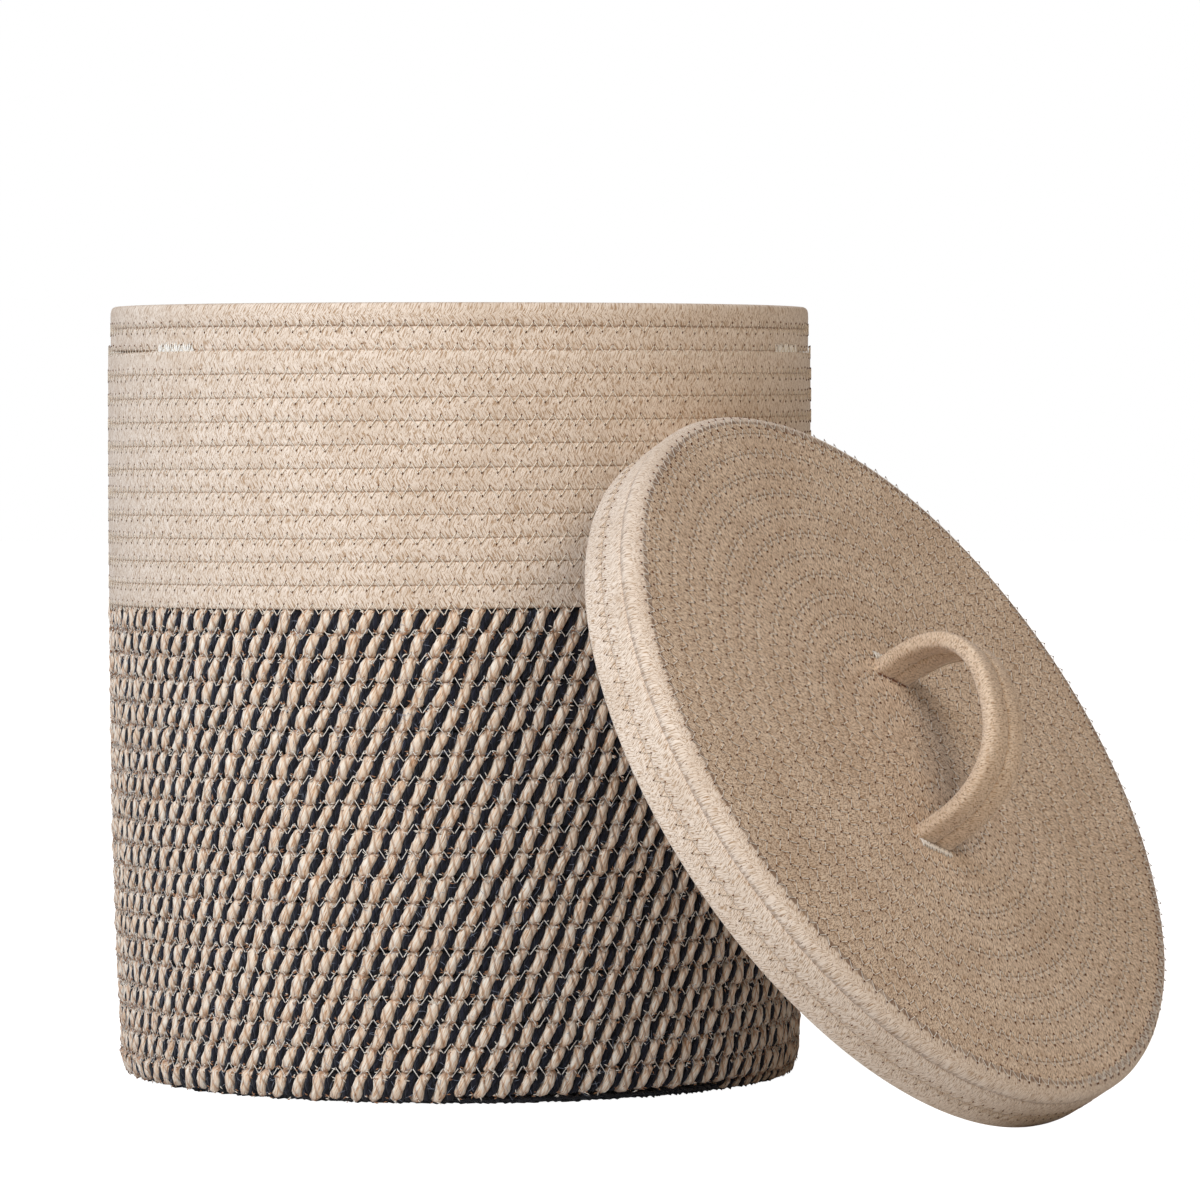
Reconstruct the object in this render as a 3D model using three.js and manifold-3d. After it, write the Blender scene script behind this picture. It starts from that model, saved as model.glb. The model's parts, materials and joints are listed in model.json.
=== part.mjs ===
// Round rope basket with a lid. The basket stands on the floor, and its lid leans against its side.
// Millimetres, +Z up. The origin is the centre of the basket's base, on the floor.

import * as THREE from 'three';
import { mergeVertices } from 'three/addons/utils/BufferGeometryUtils.js';
import Module from 'manifold-3d';

const wasm = await Module();
wasm.setup();

// Rope. It is sewn row on row, so each row shows as a rounded rib with a groove at its seam.
const ROPE_THICKNESS = 9;
const SEAM_GROOVE = 1.8;
const CROWN_SHARE = 0.46;
const PLAIN_ROW_HEIGHT = 11.13;
const TWO_TONE_ROW_HEIGHT = 11.54;
const PLAIN_ROWS = 13;
const TWO_TONE_ROWS = 20;

// Basket. Its radius is measured over the crowns of the rows, and the rim rows are set in a little.
const BASKET_RADIUS = 175.3;
const RIM_STEP = 1.3;
const RIM_ROWS = 2;
const FOOT_TAPER = 6.5;
const FOOT_TAPER_POWER = 3.5;
const WALL_FOOT_HEIGHT = 5.5;
const BASE_TOE = 3.2;
const BASE_TOE_ROUND = 2.8;
const RIM_ROUND = 3.2;
const FOOT_ROUND = 2.6;
const INNER_STEP = 40;

// Grip slits: stitch-free stretches of the seam below the rim rows, one on each side.
const SLIT_HEIGHT = 1.6;
const SLIT_SPAN = THREE.MathUtils.degToRad(49.6);
const SLIT_STEPS = 10;
const SLIT_DIRECTIONS = [8.5, 188.5].map((degrees) => THREE.MathUtils.degToRad(degrees));

// Dense stitching that ends each slit.
const GRIP_TACK_SPAN = THREE.MathUtils.degToRad(12);
const GRIP_TACK_HEIGHT = 6.4;
const GRIP_TACK_THICKNESS = 1;
const GRIP_TACK_STEPS = 4;

// Lid. Its skirt goes over the rim rows with the running clearance.
const LID_CLEARANCE = 2;
const LID_ROPE_THICKNESS = 8;
const LID_ROW_HEIGHT = 11;
const LID_SKIRT_ROWS = 3;
const LID_FACE_ROWS = 16;
const LID_GROOVE = 1.5;
const LID_GROOVE_REACH = 2.75;
const LID_CORNER_ROUND = 6.4;
const LID_EDGE_ROUND = 2.2;

// Where the lid leans: its side of the basket, the way its face looks, and how far the face looks up.
const LEAN_SIDE = THREE.MathUtils.degToRad(-45.6);
const LEAN_FACING = THREE.MathUtils.degToRad(-33.3);
const LEAN_TILT = THREE.MathUtils.degToRad(31.6);

// Handle: a loop of two rope runs side by side, sewn into slots in the lid's face.
const HANDLE_ROPE_WIDTH = 11.3;
const HANDLE_ROPE_THICKNESS = 8.5;
const HANDLE_SPAN = 95;
const HANDLE_HEIGHT = 54;
const HANDLE_SHIFT = 4.4;
const HANDLE_SQUARENESS = 2.4;
const HANDLE_TURN = THREE.MathUtils.degToRad(-24);
const HANDLE_FOLD = THREE.MathUtils.degToRad(30);
const HANDLE_STEPS = 26;
const HANDLE_SECTION_STEPS = 5;
const KNUCKLE_STEPS = 8;
const HANDLE_TACK_WIDTH = 3;
const HANDLE_TACK_THICKNESS = 1.1;

// Gap between pieces that touch, the facets of a full circle and the steps of a rounded corner.
const GAP = 0.3;
const FACETS = 36;
const ROUND_STEPS = 3;

// Distance below which points count as one, and how closely the lean is solved.
const WELD = 1e-4;
const LEAN_ERROR = 1e-3;

// Colours of the ropes and threads.
const PLAIN_ROPE = { color: 0xcdb597, roughness: 0.92, metalness: 0 };
const TWO_TONE_ROPE = { color: 0x8a7668, roughness: 0.95, metalness: 0 };
const BASE_ROPE = { color: 0x2b2b33, roughness: 0.95, metalness: 0 };
const LID_ROPE = { color: 0xc6ab88, roughness: 0.92, metalness: 0 };
const HANDLE_ROPE = { color: 0xc9ae8a, roughness: 0.9, metalness: 0 };
const THREAD = { color: 0xe9dfcd, roughness: 0.7, metalness: 0 };

// Heights and radii that follow from the sizes above.
const seamHeight = WALL_FOOT_HEIGHT + TWO_TONE_ROWS * TWO_TONE_ROW_HEIGHT;
const basketHeight = seamHeight + PLAIN_ROWS * PLAIN_ROW_HEIGHT;
const slitSeamHeight = basketHeight - RIM_ROWS * PLAIN_ROW_HEIGHT;
const rimRadius = BASKET_RADIUS - RIM_STEP;
const lidInnerRadius = rimRadius + LID_CLEARANCE;
const lidRadius = lidInnerRadius + LID_ROPE_THICKNESS;
const lidDepth = LID_SKIRT_ROWS * LID_ROW_HEIGHT;
const lidUnderside = lidDepth - LID_ROPE_THICKNESS;
const lidFaceRadius = lidRadius - LID_CORNER_ROUND;
const handleWidth = 2 * HANDLE_ROPE_WIDTH + GAP;
const knuckleTop = (GAP + (handleWidth / 2) * Math.sin(HANDLE_FOLD)) / Math.cos(HANDLE_FOLD) + GAP;

// Place of a foot along the handle. The handle is sewn a little below the middle of the face.
function footPlace(end) {
  return HANDLE_SHIFT + (end * HANDLE_SPAN) / 2;
}

// Radius over the crowns of the wall's rows: straight above, drawn in towards the foot.
function wallRadius(height) {
  const full = height > slitSeamHeight ? rimRadius : BASKET_RADIUS;
  return full - FOOT_TAPER * (1 - height / basketHeight) ** FOOT_TAPER_POWER;
}

// Outline points of a stack of rows, from the lowest seam to the highest, on the outside.
function rowOutline(bottom, rows, rowHeight) {
  const points = [];
  for (let row = 0; row < rows; row += 1) {
    const low = bottom + row * rowHeight;
    const crown = wallRadius(low + rowHeight / 2);
    const crownEdge = (rowHeight * (1 - CROWN_SHARE)) / 2;
    if (row > 0) points.push(new THREE.Vector2(wallRadius(low) - SEAM_GROOVE, low));
    points.push(new THREE.Vector2(crown, low + crownEdge));
    points.push(new THREE.Vector2(crown, low + rowHeight - crownEdge));
  }
  return points;
}

// Points of a rounded corner, with angles in quarter turns.
function corner(x, y, radiusX, radiusY, start, end) {
  return Array.from({ length: ROUND_STEPS + 1 }, (unused, step) => {
    const angle = (Math.PI / 2) * (start + ((end - start) * step) / ROUND_STEPS);
    return new THREE.Vector2(x + radiusX * Math.cos(angle), y + radiusY * Math.sin(angle));
  });
}

// Plain inside of the wall, from the top down, with one point for every few rows.
function innerOutline(top, bottom) {
  const points = [];
  const steps = Math.ceil((top - bottom) / INNER_STEP);
  for (let step = 0; step <= steps; step += 1) {
    const height = top + ((bottom - top) * step) / steps;
    points.push(new THREE.Vector2(wallRadius(height) - ROPE_THICKNESS, height));
  }
  return points;
}

// Solid turned about +Z. The outline starts and ends on the axis, or closes on itself.
function turned(outline) {
  const geometry = new THREE.LatheGeometry(outline, FACETS);
  geometry.rotateX(Math.PI / 2);
  geometry.rotateZ(Math.PI / 2);
  return outward(bare(geometry));
}

function closed(outline) {
  return [...outline, outline[0].clone()];
}

// Geometry with shared points only, without its flat triangles.
function bare(geometry) {
  geometry.deleteAttribute('normal');
  geometry.deleteAttribute('uv');
  const merged = mergeVertices(geometry, WELD);
  const index = Array.from(merged.index.array);
  const kept = [];
  for (let i = 0; i < index.length; i += 3) {
    const [a, b, c] = index.slice(i, i + 3);
    if (a !== b && b !== c && c !== a) kept.push(a, b, c);
  }
  merged.setIndex(kept);
  return merged;
}

function signedVolume(geometry) {
  const index = geometry.index.array;
  const position = geometry.attributes.position;
  const [a, b, c] = [new THREE.Vector3(), new THREE.Vector3(), new THREE.Vector3()];
  let volume = 0;
  for (let i = 0; i < index.length; i += 3) {
    a.fromBufferAttribute(position, index[i]);
    b.fromBufferAttribute(position, index[i + 1]);
    c.fromBufferAttribute(position, index[i + 2]);
    volume += a.dot(b.cross(c)) / 6;
  }
  return volume;
}

// The same solid with its faces pointing out.
function outward(geometry) {
  if (signedVolume(geometry) < 0) {
    geometry.setIndex(Array.from(geometry.index.array).reverse());
  }
  return geometry;
}

// First solid with the others cut away.
function cutAway(geometry, cutters) {
  const solidOf = (shape) => new wasm.Manifold(new wasm.Mesh({
    numProp: 3,
    vertProperties: new Float32Array(shape.attributes.position.array),
    triVerts: new Uint32Array(shape.index.array),
  }));
  const left = cutters.reduce((solid, cutter) => solid.subtract(solidOf(cutter)), solidOf(geometry));
  const mesh = left.getMesh();
  const result = new THREE.BufferGeometry();
  result.setAttribute('position', new THREE.BufferAttribute(new Float32Array(mesh.vertProperties), 3));
  result.setIndex(Array.from(mesh.triVerts));
  return result;
}

function extruded(shape, depth, curveSegments) {
  const geometry = new THREE.ExtrudeGeometry(shape, { depth, bevelEnabled: false, curveSegments });
  return outward(bare(geometry));
}

// Flat piece of a ring, lying in XY and lifted from zero to its height.
function ringSector(innerRadius, outerRadius, direction, span, height, steps) {
  const shape = new THREE.Shape();
  shape.absarc(0, 0, outerRadius, direction - span / 2, direction + span / 2, false);
  shape.absarc(0, 0, innerRadius, direction + span / 2, direction - span / 2, true);
  return extruded(shape, height, steps);
}

function part(name, geometry, finish) {
  geometry.computeVertexNormals();
  const mesh = new THREE.Mesh(geometry, new THREE.MeshStandardMaterial({ ...finish, flatShading: true }));
  mesh.name = name;
  return mesh;
}

// Floor coil of the basket, with a toe under the wall's lowest row.
function baseCoil() {
  const inside = wallRadius(WALL_FOOT_HEIGHT) - ROPE_THICKNESS - GAP;
  const toe = inside + BASE_TOE;
  const lip = WALL_FOOT_HEIGHT - GAP;
  const outline = [
    new THREE.Vector2(0, 0),
    ...corner(toe - BASE_TOE_ROUND, lip / 2, BASE_TOE_ROUND, lip / 2, -1, 0),
    ...corner(toe - BASE_TOE_ROUND, lip / 2, BASE_TOE_ROUND, lip / 2, 0, 1).slice(1),
    new THREE.Vector2(inside, lip),
    new THREE.Vector2(inside, ROPE_THICKNESS),
    new THREE.Vector2(0, ROPE_THICKNESS),
  ];
  return part('base_coil', turned(outline), BASE_ROPE);
}

function lowerWallCoil() {
  const top = seamHeight - GAP / 2;
  const foot = wallRadius(WALL_FOOT_HEIGHT);
  const outline = [
    new THREE.Vector2(foot - ROPE_THICKNESS + FOOT_ROUND, WALL_FOOT_HEIGHT),
    new THREE.Vector2(foot - FOOT_ROUND, WALL_FOOT_HEIGHT),
    ...rowOutline(WALL_FOOT_HEIGHT, TWO_TONE_ROWS, TWO_TONE_ROW_HEIGHT),
    new THREE.Vector2(wallRadius(top) - SEAM_GROOVE, top),
    ...innerOutline(top, WALL_FOOT_HEIGHT + FOOT_ROUND),
  ];
  return part('lower_wall_coil', turned(closed(outline)), TWO_TONE_ROPE);
}

function upperWallCoil() {
  const bottom = seamHeight + GAP / 2;
  const inner = rimRadius - ROPE_THICKNESS;
  const rows = rowOutline(bottom, PLAIN_ROWS, (basketHeight - bottom) / PLAIN_ROWS);
  rows.pop();
  const outline = [
    new THREE.Vector2(wallRadius(bottom) - SEAM_GROOVE, bottom),
    ...rows,
    ...corner(rimRadius - RIM_ROUND, basketHeight - RIM_ROUND, RIM_ROUND, RIM_ROUND, 0, 1),
    ...corner(inner + RIM_ROUND, basketHeight - RIM_ROUND, RIM_ROUND, RIM_ROUND, 1, 2),
    ...innerOutline(slitSeamHeight, bottom),
  ];
  const slits = SLIT_DIRECTIONS.map((direction) => {
    const slit = ringSector(inner - ROPE_THICKNESS, BASKET_RADIUS + ROPE_THICKNESS, direction, SLIT_SPAN,
      SLIT_HEIGHT, SLIT_STEPS);
    return slit.translate(0, 0, slitSeamHeight - SLIT_HEIGHT / 2);
  });
  return part('upper_wall_coil', cutAway(turned(closed(outline)), slits), PLAIN_ROPE);
}

// A stitched bar past each end of each slit, lying on the rows' crowns.
function gripTacks() {
  const inner = BASKET_RADIUS + GAP;
  const outer = inner + GRIP_TACK_THICKNESS;
  const reach = (SLIT_SPAN + GRIP_TACK_SPAN) / 2;
  return SLIT_DIRECTIONS.flatMap((direction, side) => [-1, 1].map((end) => {
    const tack = ringSector(inner, outer, direction + end * reach, GRIP_TACK_SPAN, GRIP_TACK_HEIGHT,
      GRIP_TACK_STEPS);
    tack.translate(0, 0, slitSeamHeight - GRIP_TACK_HEIGHT / 2);
    const name = `grip_tack_${side === 0 ? 'right' : 'left'}_${end < 0 ? 'start' : 'end'}`;
    return part(name, tack, THREAD);
  }));
}

// The lid's own frame has +Z out of its face and +X down the slope of its lean. Its origin is in the
// plane of the skirt's edge.

// Outline of the lid's skirt: the edge row, the row above it and the corner row, then the ledge inside.
function lidSkirtOutline() {
  const outline = [
    new THREE.Vector2(lidInnerRadius + LID_EDGE_ROUND, 0),
    new THREE.Vector2(lidRadius - LID_EDGE_ROUND, 0),
    new THREE.Vector2(lidRadius, LID_EDGE_ROUND),
  ];
  for (let row = 1; row < LID_SKIRT_ROWS; row += 1) {
    const seam = row * LID_ROW_HEIGHT;
    outline.push(new THREE.Vector2(lidRadius, seam - LID_GROOVE_REACH));
    outline.push(new THREE.Vector2(lidRadius - LID_GROOVE, seam));
    outline.push(new THREE.Vector2(lidRadius, seam + LID_GROOVE_REACH));
  }
  const centre = new THREE.Vector2(lidRadius - LID_CORNER_ROUND, lidDepth - LID_CORNER_ROUND);
  outline.push(...corner(centre.x, centre.y, LID_CORNER_ROUND, LID_CORNER_ROUND, 0, 1));
  const seat = lidFaceRadius - LID_GROOVE;
  outline.push(new THREE.Vector2(seat, lidDepth - LID_GROOVE));
  outline.push(new THREE.Vector2(seat, lidUnderside - GAP));
  outline.push(new THREE.Vector2(lidInnerRadius, lidUnderside - GAP));
  outline.push(new THREE.Vector2(lidInnerRadius, LID_EDGE_ROUND));
  return outline;
}

// Turned lid face: one shallow rib for each row of the spiral, with a slot for each end of the handle.
function lidFaceCoil() {
  const radius = lidFaceRadius - LID_GROOVE - GAP;
  const pitch = radius / LID_FACE_ROWS;
  const outline = [
    new THREE.Vector2(0, lidUnderside),
    new THREE.Vector2(radius, lidUnderside),
    new THREE.Vector2(radius, lidDepth - LID_GROOVE),
  ];
  for (let row = LID_FACE_ROWS; row > 0; row -= 1) {
    outline.push(new THREE.Vector2((row - 0.5) * pitch, lidDepth));
    if (row > 1) outline.push(new THREE.Vector2((row - 1) * pitch, lidDepth - LID_GROOVE));
  }
  outline.push(new THREE.Vector2(0, lidDepth));
  const slots = [-1, 1].map((end) => {
    const slot = new THREE.BoxGeometry(HANDLE_ROPE_THICKNESS + 2 * GAP, handleWidth + 2 * GAP, lidDepth);
    slot.translate(footPlace(end), 0, lidDepth - LID_ROPE_THICKNESS / 2);
    return outward(bare(slot.rotateZ(HANDLE_TURN)));
  });
  return part('lid_face_coil', cutAway(turned(outline), slots), LID_ROPE);
}

// Sewn-in end of the handle: it fills its slot and ends in a round knuckle, where the loop bends.
function handleFoot(end) {
  const half = handleWidth / 2;
  const knuckle = knuckleTop - GAP;
  const shape = new THREE.Shape();
  shape.moveTo(-half, lidUnderside);
  shape.lineTo(half, lidUnderside);
  shape.lineTo(half, lidDepth - LID_GROOVE);
  shape.lineTo(knuckle, lidDepth - LID_GROOVE);
  shape.absarc(0, lidDepth, knuckle, 0, Math.PI, false);
  shape.lineTo(-knuckle, lidDepth - LID_GROOVE);
  shape.lineTo(-half, lidDepth - LID_GROOVE);
  shape.closePath();
  const foot = extruded(shape, HANDLE_ROPE_THICKNESS, KNUCKLE_STEPS);
  foot.translate(0, 0, -HANDLE_ROPE_THICKNESS / 2);
  foot.rotateX(Math.PI / 2);
  foot.rotateZ(Math.PI / 2);
  foot.translate(footPlace(end), 0, 0);
  foot.rotateZ(HANDLE_TURN);
  return part(end < 0 ? 'handle_foot_upper' : 'handle_foot_lower', outward(foot), HANDLE_ROPE);
}

// Stitched bar across the outer side of each foot.
function handleTack(end) {
  const tack = new THREE.BoxGeometry(HANDLE_TACK_WIDTH, handleWidth, HANDLE_TACK_THICKNESS);
  const away = (HANDLE_ROPE_THICKNESS + HANDLE_TACK_WIDTH) / 2 + 2 * GAP;
  tack.translate(footPlace(end) + end * away, 0, lidDepth + GAP + HANDLE_TACK_THICKNESS / 2);
  tack.rotateZ(HANDLE_TURN);
  return part(end < 0 ? 'handle_tack_upper' : 'handle_tack_lower', outward(bare(tack)), THREAD);
}

// Middle line of one rope run of the handle: an upright arch with full shoulders.
class HandleArch extends THREE.Curve {
  constructor(side) {
    super();
    this.side = side;
  }

  getPoint(share) {
    const angle = Math.PI * share;
    const power = 2 / HANDLE_SQUARENESS;
    const along = -Math.sign(Math.cos(angle)) * Math.abs(Math.cos(angle)) ** power;
    const up = Math.abs(Math.sin(angle)) ** power;
    const foot = lidDepth + knuckleTop;
    return new THREE.Vector3(
      footPlace(along),
      (this.side * (HANDLE_ROPE_WIDTH + GAP)) / 2,
      foot + up * (HANDLE_HEIGHT - knuckleTop),
    );
  }
}

function handleRope(side) {
  const section = new THREE.Shape();
  section.absellipse(0, 0, HANDLE_ROPE_WIDTH / 2, HANDLE_ROPE_THICKNESS / 2, 0, 2 * Math.PI);
  const geometry = new THREE.ExtrudeGeometry(section, {
    steps: HANDLE_STEPS,
    extrudePath: new HandleArch(side),
    curveSegments: HANDLE_SECTION_STEPS,
  });
  geometry.rotateZ(HANDLE_TURN);
  return part(side < 0 ? 'handle_rope_front' : 'handle_rope_back', outward(bare(geometry)), HANDLE_ROPE);
}

// Lean of the lid: its lowest edge is on the floor, and its highest edge touches the wall.
function leaningLid() {
  const facing = new THREE.Vector3(
    Math.cos(LEAN_FACING) * Math.cos(LEAN_TILT),
    Math.sin(LEAN_FACING) * Math.cos(LEAN_TILT),
    Math.sin(LEAN_TILT),
  );
  const downSlope = new THREE.Vector3(0, 0, -1).addScaledVector(facing, facing.z).normalize();
  const across = new THREE.Vector3().crossVectors(facing, downSlope);
  const turn = new THREE.Matrix4().makeBasis(downSlope, across, facing);
  const outline = lidSkirtOutline();
  const height = Math.max(...outline.map((p) => p.x * Math.cos(LEAN_TILT) - p.y * Math.sin(LEAN_TILT)));
  const probes = 4 * FACETS;
  const edge = outline.flatMap((p) => Array.from({ length: probes }, (unused, step) => {
    const angle = (2 * Math.PI * step) / probes;
    return new THREE.Vector3(p.x * Math.cos(angle), p.x * Math.sin(angle), p.y).applyMatrix4(turn);
  }));
  const side = new THREE.Vector3(Math.cos(LEAN_SIDE), Math.sin(LEAN_SIDE), 0);
  let [near, far] = [0, 2 * (BASKET_RADIUS + lidRadius)];
  while (far - near > LEAN_ERROR) {
    const reach = (near + far) / 2;
    const place = side.clone().multiplyScalar(reach).setZ(height);
    const touches = edge.some((p) => {
      const q = p.clone().add(place);
      return q.z < basketHeight && Math.hypot(q.x, q.y) < BASKET_RADIUS + GAP;
    });
    if (touches) near = reach;
    else far = reach;
  }
  const lid = new THREE.Group();
  lid.quaternion.setFromRotationMatrix(turn);
  lid.position.copy(side).multiplyScalar(far).setZ(height);
  return lid;
}

const basket = new THREE.Group();
basket.add(baseCoil(), lowerWallCoil(), upperWallCoil(), ...gripTacks());

const lid = leaningLid();
lid.add(lidFaceCoil(), part('lid_skirt_coil', turned(closed(lidSkirtOutline())), LID_ROPE));
lid.add(...[-1, 1].map(handleFoot), ...[-1, 1].map(handleTack));

const handle = new THREE.Group();
handle.add(...[-1, 1].map(handleRope));
lid.add(handle);

const model = new THREE.Group();
model.add(basket, lid);

export default model;
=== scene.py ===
"""Coiled rope basket with a two-tone lower wall, and its rope lid leaning against it.

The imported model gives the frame. Lengths are in metres.
"""

import json
import math

import bmesh
import bpy
import numpy as np
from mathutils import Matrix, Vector


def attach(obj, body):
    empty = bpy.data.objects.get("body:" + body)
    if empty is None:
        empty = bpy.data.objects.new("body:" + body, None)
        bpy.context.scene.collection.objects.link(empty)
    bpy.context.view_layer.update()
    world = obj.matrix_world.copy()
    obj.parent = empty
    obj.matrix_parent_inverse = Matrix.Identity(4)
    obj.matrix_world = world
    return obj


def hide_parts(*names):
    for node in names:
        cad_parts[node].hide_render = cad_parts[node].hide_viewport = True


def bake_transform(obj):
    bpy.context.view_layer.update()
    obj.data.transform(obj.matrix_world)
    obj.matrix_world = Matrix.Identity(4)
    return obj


bl_info = {
    "name": "Lidded rope basket",
    "version": (1, 0, 0),
    "blender": (4, 5, 0),
    "location": "3D View > Sidebar > Rope Basket",
    "description": "Builds a coiled rope basket with a two-tone lower wall and a leaning lid",
    "category": "Object",
}

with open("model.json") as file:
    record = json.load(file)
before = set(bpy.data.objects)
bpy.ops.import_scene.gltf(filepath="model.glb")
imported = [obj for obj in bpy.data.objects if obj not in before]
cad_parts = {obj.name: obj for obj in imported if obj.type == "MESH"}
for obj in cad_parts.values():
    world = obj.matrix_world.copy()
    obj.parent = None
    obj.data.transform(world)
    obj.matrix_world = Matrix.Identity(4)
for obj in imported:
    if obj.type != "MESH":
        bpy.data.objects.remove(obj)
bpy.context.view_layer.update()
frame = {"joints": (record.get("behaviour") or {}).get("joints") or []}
JOINTS = {joint["name"]: joint for joint in frame["joints"]}

MM = 0.001
TURN = 2 * math.pi
FRONT = -math.pi / 2
UP = np.array([0.0, 0.0, 1.0])

# Rows of the wall, counted from the foot. The rope changes at COLOUR_CHANGE turns, the rows get
# level from LEVEL_FROM on, and RIM_SEAM is the seam that has the grip slits.
TWO_TONE_ROWS = 20
ALL_ROWS = 33
COLOUR_CHANGE = 20.5
RIM_SEAM = 31
LEVEL_FROM = 27

# Turns where the wall's rope begins, and where the thread of the plain rope does.
WALL_START = 0.14
THREAD_CHANGE = 19.52

# Share of a turn in which a level row steps to the next one.
JOG_REACH = 0.08

# Distance between two rings of each rope, and places in one turn of a seam.
FLOOR_STEP = 1.9 * MM
STRAND_STEP = 1.15 * MM
PLAIN_STEP = 4 * MM
FACE_STEP = 3.6 * MM
HANDLE_STEP = 1.6 * MM
SEAM_PLACES = 360

# Length in which the yarns of a strand turn once, and how far they stand out of it.
YARN_TURN = 8 * MM
YARN_SWELL = 0.17

# Rows of the lid's face and skirt, and the radius of the corner between them.
FACE_ROWS = 16
SKIRT_ROWS = 3
SKIRT_CORNER = 6.5 * MM

# Pitch that the floor's rows come close to, and how far they reach in under the wall.
BASE_PITCH = 11 * MM
BASE_TUCK = 4.5 * MM

# Radius of the floor's two strands, and length in which they turn once round each other.
BASE_STRAND = 2.4 * MM
BASE_LAY = 10.4 * MM

# Squareness of the ropes' sections, where 2 is round. The skirt's pattern has two of its own.
PLAIN_POWER, RIM_POWER = 6.5, 3.5
FACE_POWER = 8.0
SKIRT_POWER, CORNER_POWER = 5.2, 2.1
SKIRT_GIRTH_POWER, SKIRT_OUTLINE_POWER = 4.4, 5.0
HANDLE_POWER = 3.6
PRESSED_POWER = 4.4

# Directions of the two grip slits, in degrees from +X.
SLIT_DIRECTIONS = (8.5, 188.5)

# Loose fibres at each end of a bead of the two-tone rope, and loose hairs on all of it.
FIBRES_PER_END = 5
LINT_COUNT = 5200
HAIR_RINGS = 4

# Rings at each end of the two-tone rope that have none of them.
BARE_RINGS = 60

# Radius of the lid's and the handle's thread, and how far the lid's seams are over its crowns.
LID_THREAD = 0.2 * MM
THREAD_GAP = 0.05 * MM

# Random draws, one number for each kind of unevenness.
SEED_LAY, SEED_HEIGHT, SEED_STITCH, SEED_FIBRE = 11, 37, 41, 53


def srgb(red, green, blue):
    """Linear colour with alpha from 8-bit screen values."""
    def linear(value):
        share = value / 255
        return share / 12.92 if share <= 0.04045 else ((share + 0.055) / 1.055) ** 2.4
    return (linear(red), linear(green), linear(blue), 1.0)


def length(name, description, millimetres):
    """Property for a length."""
    return bpy.props.FloatProperty(
        name=name, description=description, default=millimetres * MM, unit="LENGTH", precision=5)


def angle_of(name, description, degrees):
    """Property for an angle."""
    return bpy.props.FloatProperty(
        name=name, description=description, default=math.radians(degrees), subtype="ANGLE")


def colour(name, description, *values):
    """Property for a colour."""
    return bpy.props.FloatVectorProperty(
        name=name, description=description, default=srgb(*values), subtype="COLOR", size=4,
        min=0.0, max=1.0)


class BasketSizes(bpy.types.PropertyGroup):
    """Sizes of the ropes, the basket, the lid and the handle."""

    basket_radius: length("Basket radius", "Radius over the crowns of the wall's rows", 175.3)
    rim_radius: length("Rim radius", "Radius over the two rows above the grip slits", 174)
    foot_height: length("Foot height", "Height over the floor where the wall's rows begin", 3.9)
    toe_height: length("Toe height", "Height of the lowest row's lower edge", 1.8)
    seam_height: length("Colour seam height", "Height where the plain rope begins", 236.3)
    basket_height: length("Basket height", "Height of the rim", 380.99)
    foot_taper: length("Foot taper", "How far the wall draws in at its foot", 6.5)
    rope_thickness: length("Rope thickness", "Thickness of the wall's rope", 9)
    twists: bpy.props.FloatProperty(
        name="Twists", description="Twists of the two-tone rope in one turn", default=103.5)
    natural_strand: length("Natural strand", "Radius of the natural strand", 3.2)
    dark_strand: length("Dark strand", "Radius of the dark strand", 1.9)
    stitch: length("Stitch", "Length of one full zigzag of the sewing thread", 7.4)
    stitch_reach: length("Stitch reach", "How far the zigzag reaches on each side", 2.8)
    slit_gap: length("Slit gap", "Half the height of a grip slit", 0.8)
    slit_span: angle_of("Slit span", "Angle that a grip slit takes", 49.6)
    tack_span: angle_of("Tack span", "Angle that the stitching at a slit's end takes", 12)
    lid_radius: length("Lid radius", "Outer radius of the lid's skirt", 184)
    lid_depth: length("Lid depth", "Height of the lid from its edge to its face", 33)
    lid_thickness: length("Lid thickness", "Thickness of the lid's rope", 8)
    lid_corner: length("Lid corner", "Radius where the lid's face ends", 177.6)
    handle_span: length("Handle span", "Distance between the handle's two feet", 95)
    handle_height: length("Handle height", "Height of the handle's middle line", 54)
    handle_shift: length("Handle shift", "How far below the lid's middle the handle is", 4.4)
    handle_rope: length("Handle rope", "Width of each of the handle's two ropes", 11.3)
    handle_thickness: length("Handle thickness", "Thickness of the handle's ropes", 8.5)


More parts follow.
